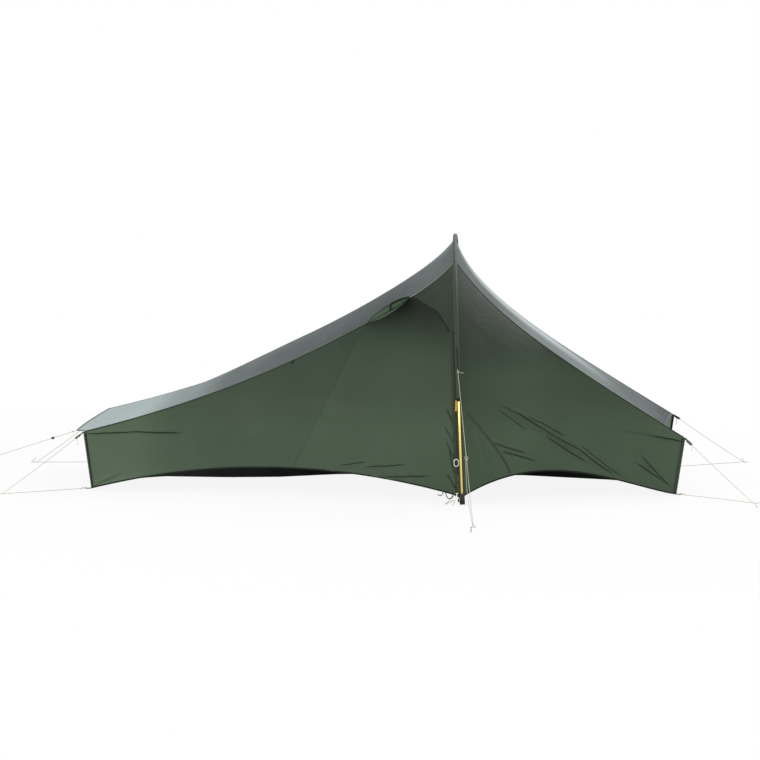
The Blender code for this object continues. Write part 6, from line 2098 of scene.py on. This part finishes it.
# %% Shape of the inner tent
INNER_LEFT, INNER_RIGHT = 0.02 - HALF_LENGTH, HALF_LENGTH - 0.02
INNER_EDGE = HALF_END_WIDTH - 0.03
TUB_WALL = 0.12
FRONT_FROM, FRONT_TO, FRONT_DEEP = -0.2, 0.55, -0.12
INNER_PEAK = on_arch(0.0)
DOOR_LEFT, DOOR_RIGHT, DOOR_HEAD = -0.1, 0.48, 0.62
RIDGE_GAP, RIDGE_TOUCH = 0.055, 0.0016


def rise_between(x, left, right):
    """0 at both ends of the inner tent and 1 between the two places."""
    x = np.clip(x, INNER_LEFT, INNER_RIGHT)
    return np.minimum((x - INNER_LEFT) / (left - INNER_LEFT),
                      (INNER_RIGHT - x) / (INNER_RIGHT - right))


def tub_front(x):
    """The tub's front edge at x: how far back it is, and how high above the ground."""
    f = np.minimum(1, rise_between(x, FRONT_FROM, FRONT_TO))
    inside = np.abs(np.clip(x, INNER_LEFT, INNER_RIGHT))
    lift = 0.042 * np.minimum(1, (INNER_RIGHT - inside) / 0.2)
    return blend_to(-INNER_EDGE, FRONT_DEEP, f), lift


def tub_back(x):
    f = rise_between(x, ARCH_X, ARCH_X)
    return blend_to(INNER_EDGE, HALF_ARCH - 0.115, f) - 0.12 * f * (1 - f)


def ridge_height(x):
    """Height of the inner's ridge at x, for an array of x."""
    heights = []
    for place in np.atleast_1d(x):
        end = LONG_END if place < INNER_PEAK[0] else STEEP_END
        far_end = end["sign"] * (HALF_LENGTH + END_LEAN)
        t = min(1.0, max(0.0, (place - far_end) / (INNER_PEAK[0] - far_end)))
        share = min(1.0, abs(place - INNER_PEAK[0]) / 0.06)
        hang = blend_to(RIDGE_TOUCH, RIDGE_GAP, share)
        heights.append(float(roof_spot(end, t, 0.0)[2]) - hang)
    return np.array(heights)


def front_base(x):
    return tub_front(x)[1] + TUB_WALL


def inner_front(x, z):
    """The inner's front wall at x and height z."""
    base, top = front_base(x), INNER_PEAK[2] - RIDGE_GAP
    y = tub_front(x)[0] * (1 - (z - base) / (top - base)) - 0.008
    return np.stack(np.broadcast_arrays(x, y, z), axis=-1)


def sill_of(x):
    base = front_base(x)
    return base + np.minimum(0.03, 0.2 * (ridge_height(x) - base))


def head_of(x):
    return np.minimum(DOOR_HEAD, blend_to(sill_of(x), ridge_height(x), 0.86))


def levels_between(stops, counts):
    """Rows of values through several stops, each an array over x."""
    rows = [stops[0]]
    for a, b, count in zip(stops, stops[1:], counts):
        rows += [blend_to(a, b, k / count) for k in range(1, count + 1)]
    return np.stack(rows, axis=1)


print("ridge over the middle:", np.round(ridge_height(0.0), 3))

# %% [markdown]
# The inner walls are thin, pale and uncoated, so light passes softly over them and the
# ripstop shows more. The tub is dark and coated like the flysheet.

# %% Inner finishes
pale_cloth = Finish("inner_cloth", 0.75, 0.25)
pale_cloth.set(**{"Sheen Weight": 0.2})
weave = pale_cloth.use("ripstop", Cloth=pale_cloth.cloth, Grid=1256.0,
                       Threads=RIPSTOP_THREADS)
folds = pale_cloth.use("crinkle", Place=pale_cloth.solid)
base = pale_cloth.mix(folds["Tone"], (0.36, 0.36, 0.31), (0.46, 0.46, 0.40))
base = pale_cloth.mix(pale_cloth.times(weave["Lines"], 0.3), base, (0.60, 0.60, 0.54))
inner_cloth = pale_cloth.done(base, [(folds["Soft"], 0.006, 0.6),
                                     (folds["Sharp"], 0.0008, 0.5),
                                     (weave["Lines"], 0.00015, 0.6)])
tub_cloth = coated_cloth("tub_cloth", (0.010, 0.014, 0.011), (0.020, 0.026, 0.021),
                         0.5, 0.4, 0.05, 1.2)
print("finishes:", len(bpy.data.materials))

# %% [markdown]
# The tub's front edge hangs between its corners, so its height changes along the tent,
# and the floor sinks to the ground behind it. Both ends rise to a point under the roof.

# %% Tub floor
EDGE_INSET = 0.003 + 0.002 + 0.0005 + 0.0006
TUB_EDGE = ((-1.12, -1.03, -0.96, -0.87, -0.62, -0.42, -0.12, 0.50, 0.76, 0.91, 1.04, 1.12),
            (0.022, 0.034, 0.042, 0.046, 0.035, 0.031, 0.037, 0.038, 0.043, 0.046, 0.040,
             0.026))
INNER_THICK = 0.0003


def stations(*stops):
    """Places along x through several stops, each with the number up to the next."""
    places = [np.array([stops[0]])]
    for a, count, b in zip(stops[::2], stops[1::2], stops[2::2]):
        places.append(np.linspace(a, b, count)[1:])
    return np.concatenate(places)


def tub_rows(x):
    front, lift = tub_front(x)
    back, zero = tub_back(x), np.zeros(len(x))
    kept_up = np.interp(x, *TUB_EDGE)
    touch = front + kept_up / 0.1
    ys = [front - 0.008, front, touch, blend_to(touch, back, 0.5), back, back + 0.008]
    zs = [lift + TUB_WALL, kept_up, zero, zero, zero, zero + TUB_WALL]
    y, z = (levels_between(stops, (5, 4, 5, 5, 5)) for stops in (ys, zs))
    return np.stack(np.broadcast_arrays(x[:, None], y, z), axis=-1)


tub_grid = tub_rows(stations(INNER_LEFT, 26, FRONT_FROM, 14, INNER_PEAK[0], 10, FRONT_TO,
                             18, INNER_RIGHT))
tub_grid[..., 2] += 0.0006
lean = END_LEAN * (TUB_WALL - CORNER_BOTTOM) / (CORNER_TOP - CORNER_BOTTOM)
strut_x = HALF_LENGTH + lean - EDGE_INSET
corner_y = HALF_END_WIDTH - EDGE_INSET - 0.004
share = np.linspace(-1, 1, 25)
tub_patches = [tub_grid]
for sign, row in ((-1, tub_grid[0]), (1, tub_grid[-1])):
    ridge = float(ridge_height(np.array([sign * strut_x]))[0]) - 0.001
    rise = blend_to(TUB_WALL, ridge, np.maximum(0, 1 - np.abs(share) ** 1.3))
    top_edge = np.stack([sign * (strut_x - 0.035 * (1 - share**2)), share * corner_y,
                         rise - 0.001], axis=-1)
    tub_patches.append(blend_to(row[:, None], top_edge[:, None],
                                np.linspace(0, 1, 9)[None, :, None]))
tub = sew("inner_tub", tub_patches, [tub_cloth], (0.1, 0.1, 0.3), INNER_THICK)
belong(tub, "tent", "tub_cloth", "inner_tub_floor")
print("tub:", len(tub.data.polygons), "faces")

# %% [markdown]
# The front wall is made in three stretches, with the door's opening left out of the
# middle one. The door is a flap of its own, so that it can swing down.

# %% Inner walls and door
GAP = 0.001
WALL_X = {"long": stations(INNER_LEFT + 0.004, 24, FRONT_FROM, 6, DOOR_LEFT),
          "middle": stations(DOOR_LEFT, 16, INNER_PEAK[0], 10, DOOR_RIGHT),
          "steep": np.linspace(DOOR_RIGHT, INNER_RIGHT - 0.004, 24)}
front_patches = []
for name, x in WALL_X.items():
    base, ridge = front_base(x) + GAP, ridge_height(x)
    sill = np.maximum(sill_of(x), base + GAP)
    head = np.maximum(head_of(x), sill + GAP)
    if name == "middle":
        parts = [levels_between([ridge, head], (5,)), levels_between([sill, base], (3,))]
    else:
        parts = [levels_between([ridge, head, sill, base], (5, 12, 3))]
    front_patches += [inner_front(x[:, None], part) for part in parts]
inner_front_wall = sew("inner_front_wall", front_patches, [inner_cloth], (0.1, 0.3, 0.2),
                       INNER_THICK)
belong(inner_front_wall, "tent", "inner_cloth", "inner_wall_front")

x = np.concatenate([[DOOR_LEFT + GAP], WALL_X["middle"][1:-1], [DOOR_RIGHT - GAP]])
flap_levels = levels_between([head_of(x) - GAP, sill_of(x) + GAP], (12,))
inner_flap = sew("inner_door_flap", [inner_front(x[:, None], flap_levels)], [inner_cloth],
                 (0.1, 0.3, 0.2), INNER_THICK)
belong(inner_flap, "inner_entry", "inner_cloth", "inner_door")

x = np.concatenate([WALL_X["long"], WALL_X["middle"][1:], WALL_X["steep"][1:]])
top = inner_front(x, ridge_height(x)) + np.array([0, GAP, 0])
bottom = np.stack([x, tub_back(x) + 0.008, np.full(len(x), TUB_WALL + GAP)], axis=-1)
back_points = blend_to(top[:, None], bottom[:, None], np.linspace(0, 1, 17)[None, :, None])
inner_back_wall = sew("inner_back_wall", [back_points], [inner_cloth], (0.1, 0.1, 0.0),
                      INNER_THICK)
belong(inner_back_wall, "tent", "inner_cloth", "inner_wall_back")

edge_x = np.linspace(DOOR_LEFT + 0.004, DOOR_RIGHT - 0.004, 40)
for name, level, body, deep in (("inner_door_top_tape", head_of, "inner_entry", -0.0085),
                                ("inner_door_sill_tape", sill_of, "tent", -0.0075)):
    z = level(edge_x)[:, None] + np.linspace(0, deep, 4)[None] - GAP * 1.2
    lay(name, inner_front(edge_x[:, None], z), zip_tape, 0.0008, 0.0009,
                           body)
walls = inner_front_wall, inner_back_wall
print("inner walls:", sum(len(wall.data.polygons) for wall in walls), "faces")
